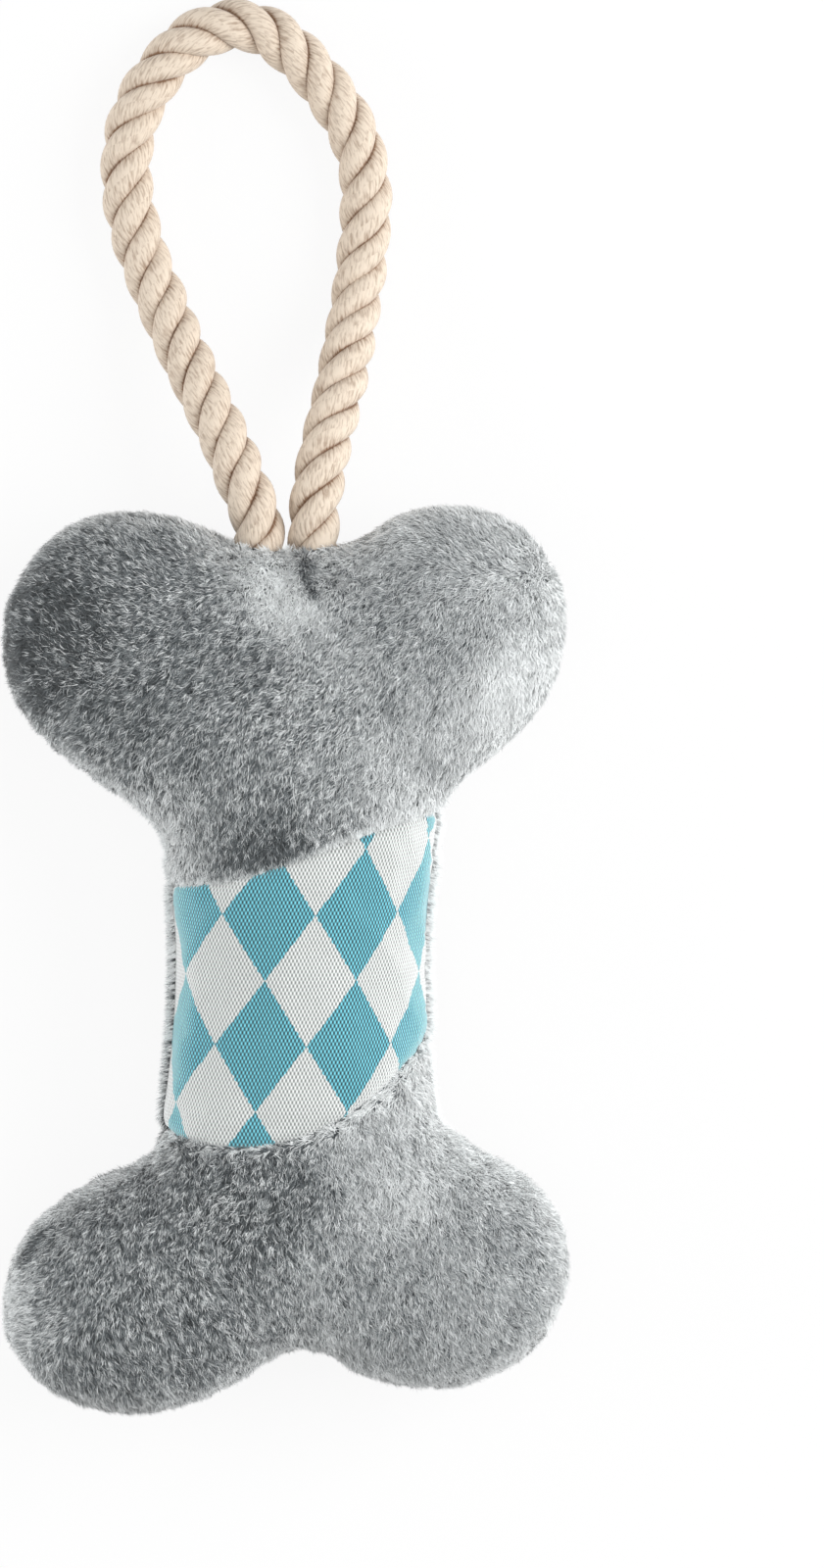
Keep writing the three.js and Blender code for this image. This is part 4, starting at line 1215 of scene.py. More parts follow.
def canvas_material():
    """Cotton canvas, plain woven and printed: matt, with a painted highlight on the crowns of thread and painted shade
    in the gaps between them.
    """
    canvas = bpy.context.scene.plush_bone_canvas
    material, add, shader = new_material(
        "cotton canvas, plain woven and printed", {"Roughness": 0.85, "Sheen Weight": 0.3}
    )
    place = add("ShaderNodeUVMap", uv_map="cloth")
    across, along, _ = add("ShaderNodeSeparateXYZ", (place,)).outputs
    # The print is cut up by the threads it lies on
    crowns, lozenges = [], []
    for way, pitch, size in (
        (across, canvas.warp_pitch, canvas.lozenge_width),
        (along, canvas.weft_pitch, canvas.lozenge_height),
    ):
        turn = add("ShaderNodeMath", (way, math.pi / pitch), operation="MULTIPLY")
        crown = add("ShaderNodeMath", (turn,), operation="SINE")
        cut = add("ShaderNodeMath", (crown, 0.2 * pitch), operation="MULTIPLY")
        cut = add("ShaderNodeMath", (way, cut), operation="ADD")
        lozenges.append(add("ShaderNodeMath", (cut, size), operation="DIVIDE"))
        crowns.append(crown)
    stripes = []
    for operation in ("ADD", "SUBTRACT"):
        slanted = add("ShaderNodeMath", lozenges, operation=operation)
        stripes.append(add("ShaderNodeMath", (slanted,), operation="FLOOR"))
    crossed = add("ShaderNodeMath", stripes, operation="ADD")
    white = add("ShaderNodeMath", (crossed, 1.0), operation="PINGPONG")
    ink = add("ShaderNodeMix", (white, canvas.blue, canvas.white), data_type="RGBA")
    weave = add("ShaderNodeMath", crowns, operation="MULTIPLY")
    weave = add("ShaderNodeMath", (weave, 0.5, 0.5), operation="MULTIPLY_ADD")
    slub = add("ShaderNodeTexNoise", (place, 0.9 / MM, 3.0, 0.6))
    # Painted shade in the gaps of the weave and painted highlight on the crowns of its threads
    depth = add("ShaderNodeMapRange", (weave, 0.15, 0.85, 0.3, 1.22))
    uneven = add("ShaderNodeMapRange", (slub, 0.3, 0.7, 0.94, 1.05))
    # Ink gathers in the gaps of the weave, so they show darker there than on bare canvas
    bare = add("ShaderNodeMath", (white, 0.9), operation="MULTIPLY")
    inked = add("ShaderNodeMath", (1.9, bare), operation="SUBTRACT")
    shade = add("ShaderNodeMath", (depth, inked), operation="POWER")
    shade = add("ShaderNodeMath", (shade, uneven), operation="MULTIPLY")
    shaded = add("ShaderNodeVectorMath", (ink, shade), operation="SCALE")
    # Painted highlight at grazing angles: where the cloth is seen along its surface its colour is lightened, as the
    # crowns of the threads hide the gaps, and mixed towards a pale painted sheen
    facing = add("ShaderNodeLayerWeight", {"Blend": 0.5}).outputs["Facing"]
    grazing = add("ShaderNodeMath", (facing, 2.0), operation="POWER")
    painted_highlight = add("ShaderNodeMath", (grazing, 0.8), operation="MULTIPLY")
    painted_highlight = add("ShaderNodeMath", (painted_highlight, 1.0), operation="ADD")
    painted_grazing_highlight = add("ShaderNodeVectorMath", (shaded, painted_highlight), operation="SCALE")
    painted_grazing_highlight = add("ShaderNodeVectorMath", (painted_grazing_highlight, (0.9,) * 3), operation="MINIMUM")
    fibre = add("ShaderNodeMath", (grazing, 0.3), operation="MULTIPLY")
    painted_sheen = add("ShaderNodeMix", (fibre, painted_grazing_highlight, linear("#F4F7F7")), data_type="RGBA")
    height = add("ShaderNodeMath", (slub, 0.4), operation="MULTIPLY")
    height = add("ShaderNodeMath", (weave, height), operation="ADD")
    relief = add("ShaderNodeBump", {"Strength": 0.8, "Distance": 0.3 * MM, "Height": height})
    feed(shader, {"Base Color": painted_sheen, "Normal": relief})
    return material


# The grid on which the length of the canvas is measured: how far along and across the front it reaches, in steps
GIRTH_REACH_ALONG, GIRTH_STEP_ALONG = 0.062, 2 * MM
GIRTH_REACH_ACROSS, GIRTH_STEP_ACROSS = 0.052, 0.4 * MM


def girth_places(points):
    """How much cloth lies between the middle of the front and each flat point, straight across the bone."""
    flat, skin = flat_bone(), stuffed_skin()
    corners = [Vector((*point, 0)) for point in flat.points]
    stuffed = [Vector(point) for point in skin.points[FRONT]]
    tree = BVHTree.FromPolygons(corners, flat.triangles.tolist())
    alongs = np.arange(-GIRTH_REACH_ALONG, GIRTH_REACH_ALONG, GIRTH_STEP_ALONG)
    reach = np.arange(0, GIRTH_REACH_ACROSS, GIRTH_STEP_ACROSS)
    table = np.zeros((2, len(alongs), len(reach)))
    for side, sign in enumerate((-1, 1)):
        for row, along in enumerate(alongs):
            line = []
            for across in reach:
                place, _, number, _ = tree.find_nearest(Vector((sign * across, along, 0)))
                corner = flat.triangles[number].tolist()
                flat_there, stuffed_there = [corners[c] for c in corner], [stuffed[c] for c in corner]
                line.append(geometry.barycentric_transform(place, *flat_there, *stuffed_there))
            steps = np.diff(np.array(line)[:, [0, 2]], axis=0)
            table[side, row, 1:] = np.cumsum(np.hypot(*steps.T))
    side = (points[:, 0] > 0).astype(int)
    row = np.clip((points[:, 1] - alongs[0]) / GIRTH_STEP_ALONG, 0, len(alongs) - 1.001)
    column = np.clip(np.abs(points[:, 0]) / GIRTH_STEP_ACROSS, 0, len(reach) - 1.001)
    low, left = row.astype(int), column.astype(int)
    up, right = row - low, column - left
    below, above = (
        (1 - right) * table[side, line, left] + right * table[side, line, left + 1] for line in (low, low + 1)
    )
    return np.sign(points[:, 0]) * ((1 - up) * below + up * above)


def cloth_places(flat):
    """Places on the flat canvas, measured from half a lozenge left of the middle of a blue one."""
    half = 0.5 * bpy.context.scene.plush_bone_canvas.lozenge_width
    across, along = flat.points.T
    tips = girth_places(np.array([(tip, 0.0) for tip in TIP_COLUMNS]))
    tips = np.concatenate([[tips[0] - 2 * half], tips, [tips[-1] + 2 * half]])
    halves = np.arange(len(TIP_COLUMNS)) + FIRST_TIP_COLUMN
    halves = np.concatenate([[halves[0] - 2], halves, [halves[-1] + 2]])
    column = np.interp(girth_places(flat.points) - math.tan(COLUMN_LEAN) * along, tips, halves) + 1
    bow = np.minimum(np.abs(across - ROW_BOW_MIDDLE) / ROW_BOW_REACH, 1.1) ** 4
    return np.stack([half * column, along - BLUE_MIDDLE - ROW_BOW * bow], axis=1)


class PLUSHBONE_OT_canvas_band(bpy.types.Operator):
    """Make the printed canvas band"""

    bl_idname = "plush_bone.canvas_band"
    bl_label = "Canvas band"

    def execute(self, context):
        flat = flat_bone()
        band, used = closed_sheet("canvas_band", FRONT, panel_faces(flat, FRONT, WAIST))
        places = cloth_places(flat)[used]
        add_flat_map(band, np.concatenate([places, places]))
        dress(band, canvas_material())
        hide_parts("front_waist_panel")
        ride_toy(band, gives=True)
        return {"FINISHED"}


STEPS_BETWEEN_PLACES = 24


def smooth_line(places, spacing):
    """A smooth line through places, by cubics whose slope at each is that between its neighbours."""
    places = np.array(places, float)
    knots = run_along(places)
    slopes = np.gradient(places, knots, axis=0)
    parts = []
    for first in range(len(places) - 1):
        run = knots[first + 1] - knots[first]
        start, end = places[first], places[first + 1]
        controls = (start, start + slopes[first] * run / 3, end - slopes[first + 1] * run / 3, end)
        parts.append(bezier(controls, STEPS_BETWEEN_PLACES)[:-1])
    return spaced(np.concatenate([*parts, places[-1:]]), spacing)


def frames_along(line):
    """Two directions across a line at each of its points, which turn no more than the line makes them."""
    tangents = unit(np.gradient(line, axis=0))
    side = np.cross(tangents[0], (0, 0, 1))
    sides = []
    for tangent in tangents:
        side = side - (side @ tangent) * tangent
        side = side / np.linalg.norm(side)
        sides.append(side)
    sides = np.array(sides)
    return sides, np.cross(tangents, sides)


def closed_rings(rings):
    """Points and faces of a closed tube through rings of points, with a fan over each end."""
    count, around = rings.shape[:2]
    points = np.concatenate([rings.reshape(-1, 3), rings[:1].mean(1), rings[-1:].mean(1)])
    faces = []
    for low in range(0, (count - 1) * around, around):
        for corner in range(around):
            following = (corner + 1) % around
            faces.append((low + corner, low + following, low + around + following, low + around + corner))
    foot = count * around
    last = foot - around
    for corner in range(around):
        following = (corner + 1) % around
        faces.append((foot, following, corner))
        faces.append((foot + 1, last + corner, last + following))
    return points, faces


# The strands: how many, points round each, the radius of one and how far out its crown lies as shares of the rope's
# diameter, how far it is pressed flat and broad by its neighbours, over what length it wanders and how much its turn,
# its place and its girth do, and how low it may reach.
STRANDS = 3
STRAND_POINTS = 26
STRAND_SHARE = 0.27
CROWN_SHARE = 0.55
PRESSED_FLAT, PRESSED_BROAD = 0.82, 1.07
WANDER_LENGTH = 9 * MM
TURN_WANDER, PLACE_WANDER, GIRTH_WANDER = 0.12, 0.04, 0.05
ROPE_FOOT = 0.05 * MM


def laid_rope(name, line):
    """Strands laid right-handed round a line, with a UV map in metres round and along each strand, and how deep
    each point is buried between the strands."""
    rope = bpy.context.scene.plush_bone_rope
    strand = STRAND_SHARE * rope.diameter
    reach = CROWN_SHARE * rope.diameter - strand
    sides, ups = frames_along(line)
    run = run_along(line)
    turn = np.linspace(0, TURN, STRAND_POINTS, endpoint=False)
    outward = np.where(np.cos(turn) > 0, 1.0, PRESSED_FLAT) * np.cos(turn)
    sideward = PRESSED_BROAD * np.sin(turn)
    points, faces, places, buried = [], [], [], []
    for number in range(STRANDS):
        wander = np.array([noise.noise(Vector((run_at / WANDER_LENGTH, 7.1 * number, 0))) for run_at in run])
        angle = TURN * (run / rope.lay + number / STRANDS) + TURN_WANDER * wander
        out = np.cos(angle)[:, None] * sides + np.sin(angle)[:, None] * ups
        centre = line + out * (reach * (1 + PLACE_WANDER * wander))[:, None]
        heading = unit(np.gradient(centre, axis=0))
        out = unit(out - (out * heading).sum(1, keepdims=True) * heading)
        beside = np.cross(heading, out)
        strand_run = run_along(centre)
        girth = (strand * (1 + GIRTH_WANDER * wander))[:, None, None]
        rings = (
            centre[:, None]
            + girth * outward[None, :, None] * out[:, None]
            + girth * sideward[None, :, None] * beside[:, None]
        )
        strand_points, strand_faces = closed_rings(rings)
        faces += [tuple(corner + len(points) for corner in face) for face in strand_faces]
        points += list(strand_points)
        places += [(strand * angle_at, run_at) for run_at in strand_run for angle_at in turn]
        places += [(0, 0), (0, strand_run[-1])]
        buried += [*np.tile(0.5 - 0.5 * np.cos(turn), len(line)), 1, 1]
    points = np.array(points)
    points[:, 2] = np.maximum(points[:, 2], ROPE_FOOT)
    piece = mesh_object(name, points, faces)
    add_flat_map(piece, np.array(places))
    mend_map_seam(piece.data, TURN * strand)
    set_attribute(piece, "buried", buried)
    return piece


def mend_map_seam(mesh, girth):
    """Lets the face that closes each ring run on round the strand, where its map would jump back."""
    layer = mesh.uv_layers["cloth"]
    places = read(layer.data, "uv", 2)
    starts, totals = (read(mesh.polygons, field, kind=np.int32) for field in ("loop_start", "loop_total"))
    for start, total in zip(starts, totals):
        across = places[start : start + total, 0]
        if across.max() - across.min() > girth / 2:
            across[across < girth / 2] += girth
    layer.data.foreach_set("uv", places.ravel())


def rope_material():
    """Natural cotton rope, spun and laid: matt and creamy, with fine fibre along the yarns and painted shade in the
    grooves and on the strands' flanks beside them.
    """
    rope = bpy.context.scene.plush_bone_rope
    material, add, shader = new_material(
        "cotton rope, spun and laid", {"Roughness": 0.9, "Sheen Weight": 0.25, "Sheen Roughness": 0.4}
    )
    place = add("ShaderNodeUVMap", uv_map="cloth")
    buried = add("ShaderNodeAttribute", attribute_name="buried").outputs["Fac"]
    # The yarns of a strand turn against the lay, so they run almost along the rope
    turned = add(
        "ShaderNodeMapping", {"Vector": place, "Rotation": (0, 0, math.radians(-56)), "Scale": (1 / MM,) * 3}
    )
    stretched = add("ShaderNodeMapping", {"Vector": turned, "Scale": (2.6, 0.3, 1)})
    yarn, broad, fleck = (
        add("ShaderNodeTexNoise", inputs)
        for inputs in ((stretched, 1.0, 5.0), (turned, 0.16, 2.0), (stretched, 0.9, 2.0))
    )
    # grain, patch and seed are the yarn's own tone; flank is painted shade on the strands' sides towards the grooves
    seed, grain, patch, flank, bridged = (
        add("ShaderNodeMapRange", inputs)
        for inputs in (
            (fleck, 0.72, 0.8, 0.0, 0.55),
            (yarn, 0.34, 0.66, 0.52, -0.3),
            (broad, 0.3, 0.7, -0.06, 0.14),
            (buried, 0.04, 0.34, -0.06, 0.22),
            (broad, 0.35, 0.65, 0.45, 1.05),
        )
    )
    # Painted shade in the grooves between the strands, broken here and there where loose fibre bridges them
    groove = add("ShaderNodeMapRange", (buried, 0.3, 0.46, 0.0, 0.85), interpolation_type="SMOOTHSTEP")
    groove = add("ShaderNodeMath", (groove, bridged), operation="MULTIPLY")
    shade = add("ShaderNodeMath", (grain, patch), operation="ADD")
    shade = add("ShaderNodeMath", (shade, seed), operation="MAXIMUM")
    shade = add("ShaderNodeMath", (shade, flank), operation="ADD")
    shade = add("ShaderNodeMath", (shade, groove), operation="ADD", use_clamp=True)
    colour = add("ShaderNodeMix", (shade, rope.cotton, rope.shade), data_type="RGBA")
    relief = add("ShaderNodeBump", {"Strength": 0.8, "Distance": 0.3 * MM, "Height": yarn})
    feed(shader, {"Base Color": colour, "Normal": relief})
    return material


def sewn_in(hand):
    """Where the laid loop ends inside the seam, where its tail takes over."""
    return (hand * abs(ROPE_EXIT[0]), ROPE_EXIT[1] - SEWN_IN, ROPE_EXIT[2])


class PLUSHBONE_OT_rope_loop(bpy.types.Operator):
    """Lay the free loop of rope"""

    bl_idname = "plush_bone.rope_loop"
    bl_label = "Rope loop"

    def execute(self, context):
        line = smooth_line((sewn_in(-1), *ROPE_ROUTE, sewn_in(1)), ROPE_STEP)
        piece = laid_rope("rope_loop_laid", line)
        dress(piece, rope_material())
        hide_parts("rope_loop", "rope_root_left", "rope_root_right")
        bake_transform(piece)
        return {"FINISHED"}


def round_tube(line, radius, around):
    """Points and faces of a round tube along a line."""
    sides, ups = frames_along(line)
    turn = np.linspace(0, TURN, around, endpoint=False)[None, :, None]
    return closed_rings(line[:, None] + radius * (np.cos(turn) * sides[:, None] + np.sin(turn) * ups[:, None]))


TWINE_STEPS_A_TURN = 48
TWINE_SIDES = 8
BINDING_TWINE = 0.5 * MM
ANCHOR_TWINE = 0.75 * MM


def wound(node, place_at, twine, material):
    """A winding of twine in place of a node, as long as its box: place_at gives a place for each share of a turn,
    and each turn lies beside the last."""
    low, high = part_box(node)
    turns = round((high.y - low.y) / twine) - 1
    steps = np.linspace(0, turns, TWINE_STEPS_A_TURN * turns)
    line = np.array([(*place_at(step % 1), 0) for step in steps])[:, [0, 2, 1]]
    line[:, 1] = steps * twine
    piece = mesh_object(f"{node}_wound", *round_tube(line, twine / 2, TWINE_SIDES))
    for vertex in piece.data.vertices:
        vertex.co.y += low.y + twine / 2
    dress(piece, material)
    ride_toy(piece)
    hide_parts(node)


def round_legs(share, reach):
    """A place on a closed band round both legs, seen along them."""
    straight = 2 * abs(ROPE_EXIT[0])
    bend = math.pi * reach
    along = share * 2 * (straight + bend)
    if along < straight:
        return along - straight / 2, SEAM_HEIGHT + reach
    if along < straight + bend:
        angle = TURN / 4 - (along - straight) / reach
        return straight / 2 + reach * math.cos(angle), SEAM_HEIGHT + reach * math.sin(angle)
    if along < 2 * straight + bend:
        return straight / 2 - (along - straight - bend), SEAM_HEIGHT - reach
    angle = -TURN / 4 - (along - 2 * straight - bend) / reach
    return -straight / 2 + reach * math.cos(angle), SEAM_HEIGHT + reach * math.sin(angle)


class PLUSHBONE_OT_sewn_in_rope(bpy.types.Operator):
    """Lay the two tails of the rope that are sewn in, with their bindings"""

    bl_idname = "plush_bone.sewn_in_rope"
    bl_label = "Sewn-in rope"

    def execute(self, context):
        cotton = bpy.data.materials["cotton rope, spun and laid"]
        twine = mottled_material("waxed cotton twine, twisted")
        for side, hand in (("left", -1), ("right", 1)):
            top = Vector(sewn_in(hand)) - Vector((0, 0.5 * MM, 0))
            foot = Vector((top.x, TAIL_FOOT, top.z))
            tail = laid_rope(f"rope_tail_{side}_laid", spaced(np.array([top, foot]), ROPE_STEP))
            dress(tail, cotton)
            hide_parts(f"rope_tail_{side}")
            ride_toy(tail)
            low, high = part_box(f"rope_end_binding_{side}")
            radius = (high.x - low.x) / 2 - BINDING_TWINE / 2

            def round_tail(share):
                return foot.x + radius * math.cos(TURN * share), foot.z + radius * math.sin(TURN * share)

            wound(f"rope_end_binding_{side}", round_tail, BINDING_TWINE, twine)
        low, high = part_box("rope_anchor_stitching")
        reach = (high.z - low.z) / 2 - ANCHOR_TWINE / 2
        wound("rope_anchor_stitching", lambda share: round_legs(share, reach), ANCHOR_TWINE, twine)
        return {"FINISHED"}


def stitch_mesh():
    """One stitch, a unit long and a unit thick, whose ends dip into the cloth."""
    along = np.linspace(-0.5, 0.5, 7)
    dip = 0.9 * (2 * along) ** 4
    girth = 0.5 * np.sqrt(np.clip(1 - (1.9 * along) ** 6, 0.1, 1))
    turn = np.linspace(0, TURN, 6, endpoint=False)
    rings = [np.tile(along[:, None], 6), girth[:, None] * np.cos(turn), girth[:, None] * np.sin(turn) - dip[:, None]]
    return mesh_object("stitch", *closed_rings(np.stack(rings, axis=2)))


def stitch_tree(stitch, material):
    """Geometry Nodes that set stitches along a seam, each lying on the cloth."""
    tree, add, given = new_tree("Stitches", ("Pitch", "Stitch length", "Thread", "Slant"))
    seam = add("GeometryNodeMeshToCurve", (given["Geometry"],))
    even = add("GeometryNodeResampleCurve", {"Curve": seam, "Length": given["Pitch"]}, mode="LENGTH")
    tangent = add("GeometryNodeInputTangent")
    up = add("GeometryNodeInputNamedAttribute", {"Name": "up"}, data_type="FLOAT_VECTOR")
    turned = add("FunctionNodeAlignRotationToVector", {"Vector": tangent}, axis="X")
    turned = add("FunctionNodeAlignRotationToVector", {"Rotation": turned, "Vector": up}, axis="Z", pivot_axis="X")
    stray = add("FunctionNodeRandomValue", {0: -0.12, 1: 0.12, "Seed": given["Seed"]}, data_type="FLOAT")
    slant = add("ShaderNodeMath", (stray, given["Slant"]), operation="ADD")
    slant = add("FunctionNodeAxisAngleToRotation", {"Axis": (0, 0, 1), "Angle": slant})
    turned = add("FunctionNodeRotateRotation", (turned, slant), rotation_space="LOCAL")
    scale = add("ShaderNodeCombineXYZ", (given["Stitch length"], given["Thread"], given["Thread"]))
    close_tree(add, copies(add, stitch, even, turned, scale), material)
    return tree


def seam_chain(flat):
    """The numbers of the flat points on the outline, anticlockwise from the rope."""
    following = dict(rim_edges(flat.triangles).tolist())
    rim = np.flatnonzero(flat.edge)
    start = int(rim[np.linalg.norm(flat.points[rim] - (0, UPPER_NOTCH.along), axis=1).argmin()])
    chain = [start]
    while following[chain[-1]] != start:
        chain.append(following[chain[-1]])
    return np.array(chain)


def across_band(flat, on_seam):
    """The numbers of the flat points on a seam of the band, from left to right, without its ends."""
    numbers = np.flatnonzero(on_seam)
    return numbers[np.argsort(flat.points[numbers, 0])][1:-1]


# How far along the outline the stitches start from the rope, and where the hand-closed gap comes past the far notch
CLEAR_OF_ROPE = 0.016
CLOSING_START, CLOSING_END = 0.122, 0.178
# How proud of the cloth the thread lies and how thick it is, in millimetres, on the band and on the outline
BAND_THREAD, EDGE_THREAD = (0.15, 0.5), (-0.1, 0.36)


class PLUSHBONE_OT_stitches(bpy.types.Operator):
    """Sew the seams of the band and the seam round the outline"""

    bl_idname = "plush_bone.stitches"
    bl_label = "Stitches"

    def execute(self, context):
        flat, skin = flat_bone(), stuffed_skin()
        stitch = stitch_mesh()
        tree = stitch_tree(stitch, mottled_material("polyester sewing thread, spun"))
        chain = seam_chain(flat)
        run = run_along(flat.points[chain])
        closing = run[-1] / 2 + CLOSING_START, run[-1] / 2 + CLOSING_END
        # For each seam its points, and its stitches' pitch, length and slant
        seams = (
            ("edge_seam_thread_left", chain[(run > CLEAR_OF_ROPE) & (run < closing[0])], 2.8, 2.4, 0.0),
            ("closing_seam_thread", chain[(run > closing[0]) & (run < closing[1])], 4.2, 3.2, 0.5),
            ("edge_seam_thread_right", chain[(run > closing[1]) & (run < run[-1] - CLEAR_OF_ROPE)], 2.8, 2.4, 0.0),
            ("upper_band_thread", across_band(flat, flat.upper_seam), 3.7, 2.9, 0.0),
            ("lower_band_thread", across_band(flat, flat.lower_seam), 3.7, 2.9, 0.0),
        )
        for name, numbers, pitch, length, slant in seams:
            on_band = "band" in name
            proud, thread = BAND_THREAD if on_band else EDGE_THREAD
            up = skin.normals[FRONT][numbers]
            line = skin.points[FRONT][numbers] + proud * MM * up
            carrier = mesh_object("seam", line, [], [(n, n + 1) for n in range(len(line) - 1)])
            set_attribute(carrier, "up", up)
            sizes = {"Pitch": pitch * MM, "Stitch length": length * MM, "Thread": thread * MM, "Slant": slant}
            piece = grown(name.replace("thread", "stitches"), carrier, tree, {**sizes, "Seed": 3})
            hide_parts(name)
            ride_toy(piece, on_band)
        discard(stitch)
        return {"FINISHED"}


MERGE_DISTANCE = 0.001 * MM


def from_bmesh(name, work):
    """A piece made of a worked mesh, which is then freed."""
    mesh = bpy.data.meshes.new(name)
    work.to_mesh(mesh)
    work.free()
    return place_in_scene(name, mesh)


def copy_node(name, new_name):
    """A closed copy of a CAD node's mesh, whose loose triangles are merged."""
    work = bmesh.new()
    work.from_mesh(frame["nodes"][name].data)
    bmesh.ops.remove_doubles(work, verts=work.verts, dist=MERGE_DISTANCE)
    return from_bmesh(new_name, work)


# The lump of fibre lies clear of the cloth, and its tufts leave hollows: how broad those are, and in millimetres how
# deep its surface lies where there is none and how much deeper they go
HOLLOW_BREADTH = 4 * MM
FIBRE_CLEARANCE, HOLLOW_DEPTH = 0.9, 0.6


class PLUSHBONE_OT_filling(bpy.types.Operator):
    """Stuff the bone with fibre"""

    bl_idname = "plush_bone.filling"
    bl_label = "Filling"

    def execute(self, context):
        lump = copy_node("fibre_filling", "fibre_filling_carded")
        for vertex in lump.data.vertices:
            hollow = min(1.0, abs(noise.fractal(vertex.co / HOLLOW_BREADTH, 0.6, 2.0, 3)))
            vertex.co -= vertex.normal * (FIBRE_CLEARANCE + HOLLOW_DEPTH * hollow) * MM
        shade_smooth(lump.data)
        dress(lump, mottled_material("polyester fibre filling, carded"))
        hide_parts("fibre_filling")
        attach(lump, "toy")
        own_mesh(lump)
        return {"FINISHED"}


LATHE_STEPS = 64


def lathe(name, profile, centre):
    """A closed turned shape. Its half section is distance from the axis and height, and ends where it starts,
    or on the axis."""
    work = bmesh.new()
    rings = []
    for step in range(LATHE_STEPS):
        angle = TURN * step / LATHE_STEPS
        places = [(centre[0] + r * math.cos(angle), centre[1] + r * math.sin(angle), centre[2] + z) for r, z in profile]
        rings.append([work.verts.new(place) for place in places])
    for here, there in zip(rings, rings[1:] + rings[:1]):
        for place in range(len(profile) - 1):
            work.faces.new((here[place], there[place], there[place + 1], here[place + 1]))
    bmesh.ops.remove_doubles(work, verts=work.verts, dist=MERGE_DISTANCE)
    bmesh.ops.recalc_face_normals(work, faces=work.faces)
    for face in work.faces:
        face.smooth = True
    return from_bmesh(name, work)


def arc(centre, radius, start, end, count):
    """Points on an arc, whose start and end are in quarters of a turn."""
    angles = np.linspace(start * TURN / 4, end * TURN / 4, count)
    return [(centre[0] + radius * math.cos(angle), centre[1] + radius * math.sin(angle)) for angle in angles]


def bulb_profile(radius, height):
    """Half the section of the blown bulb, with the bead of its mould's parting and a rolled mouth."""
    wall, edge, mouth, bead = 1.2 * MM, 6 * MM, 4.6 * MM, 0.35 * MM
    middle = height / 2
    low, high = (radius - edge, edge), (radius - edge, height - edge)
    return [
        (0, 0),
        *arc(low, edge, -1, 0, 12),
        (radius, middle - 2 * bead),
        (radius + bead, middle),
        (radius, middle + 2 * bead),
        *arc(high, edge, 0, 1, 12),
        *arc((mouth + wall / 2, height - wall / 2), wall / 2, 1, 3, 8),
        *arc(high, edge - wall, 1, 0, 12),
        *arc(low, edge - wall, 0, -1, 12),
        (0, wall),
    ]


def plug_profile(flange, tall):
    """Half the section of the voice plug: a bored barrel under a flange, with rounded edges."""
    bore, barrel, thick, edge = 2.2 * MM, 4.3 * MM, 1.2 * MM, 0.4 * MM
    return [
        (bore, edge),
        *arc((bore + edge, edge), edge, 2, 3, 4),
        *arc((barrel - edge, edge), edge, -1, 0, 4),
        (barrel, tall - thick),
        *arc((flange - edge, tall - thick + edge), edge, -1, 0, 4),
        *arc((flange - edge, tall - edge), edge, 0, 1, 4),
        *arc((bore + edge, tall - edge), edge, 1, 2, 4),
        (bore, edge),
    ]


class PLUSHBONE_OT_squeaker(bpy.types.Operator):
    """Make the squeaker: its blown bulb, its voice plug and its reed"""

    bl_idname = "plush_bone.squeaker"
    bl_label = "Squeaker"

    def execute(self, context):
        low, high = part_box("squeaker_bulb")
        centre = ((low.x + high.x) / 2, (low.y + high.y) / 2, low.z)
        height = high.z - low.z
        bulb = lathe("squeaker_bulb_blown", bulb_profile((high.x - low.x) / 2, height), centre)
        dress(bulb, mottled_material("soft polyethylene, blown"))
        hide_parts("squeaker_bulb")
        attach(bulb, "toy")
        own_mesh(bulb)
        low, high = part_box("squeaker_plug")
        profile = plug_profile((high.x - low.x) / 2, high.z - low.z)
        plug = lathe("squeaker_plug_turned", profile, (centre[0], centre[1], low.z))
        dress(plug, mottled_material("hard polyethylene, moulded"))
        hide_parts("squeaker_plug")
        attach(plug, "voice")
        reed = frame["nodes"]["squeaker_reed"]
        reed.data.materials.clear()
        reed.data.materials.append(mottled_material("polyester film, cut to a reed"))
        return {"FINISHED"}


class PLUSHBONE_OT_stage(bpy.types.Operator):
    """Set the floor, the lights and the camera"""

    bl_idname = "plush_bone.stage"
    bl_label = "Stage"

    def execute(self, context):
        set_camera(context.scene)
        set_floor()
        set_lights(context.scene)
        context.scene.view_settings.view_transform = "Standard"
        return {"FINISHED"}


# The photograph: its size, the pixel of the bone's middle and the real size of a pixel in the seam's plane
PHOTO_WIDTH, PHOTO_HEIGHT = 841, 1600
BONE_MIDDLE_PIXEL = (292, 977)
PIXEL = 0.0002438
CAMERA_TILT = (math.radians(-2), math.radians(-1.5), 0)
FOCAL_LENGTH, SENSOR_WIDTH = 250, 36


def set_camera(scene):
    """A long lens, almost straight above, a little to the left and towards the rope."""
    camera = place_in_scene("camera", bpy.data.cameras.new("camera"))
    scene.camera = camera
    camera.data.lens = FOCAL_LENGTH
    camera.data.sensor_width = SENSOR_WIDTH
    camera.data.clip_start = 0.01
    camera.data.clip_end = 100
    across = (PHOTO_WIDTH / 2 - BONE_MIDDLE_PIXEL[0]) * PIXEL
    along = (BONE_MIDDLE_PIXEL[1] - PHOTO_HEIGHT / 2) * PIXEL
    distance = PHOTO_HEIGHT * PIXEL * FOCAL_LENGTH / SENSOR_WIDTH
    camera.rotation_euler = CAMERA_TILT
    away = camera.rotation_euler.to_matrix() @ Vector((0, 0, distance))
    camera.location = Vector((across, along, SEAM_HEIGHT)) + away


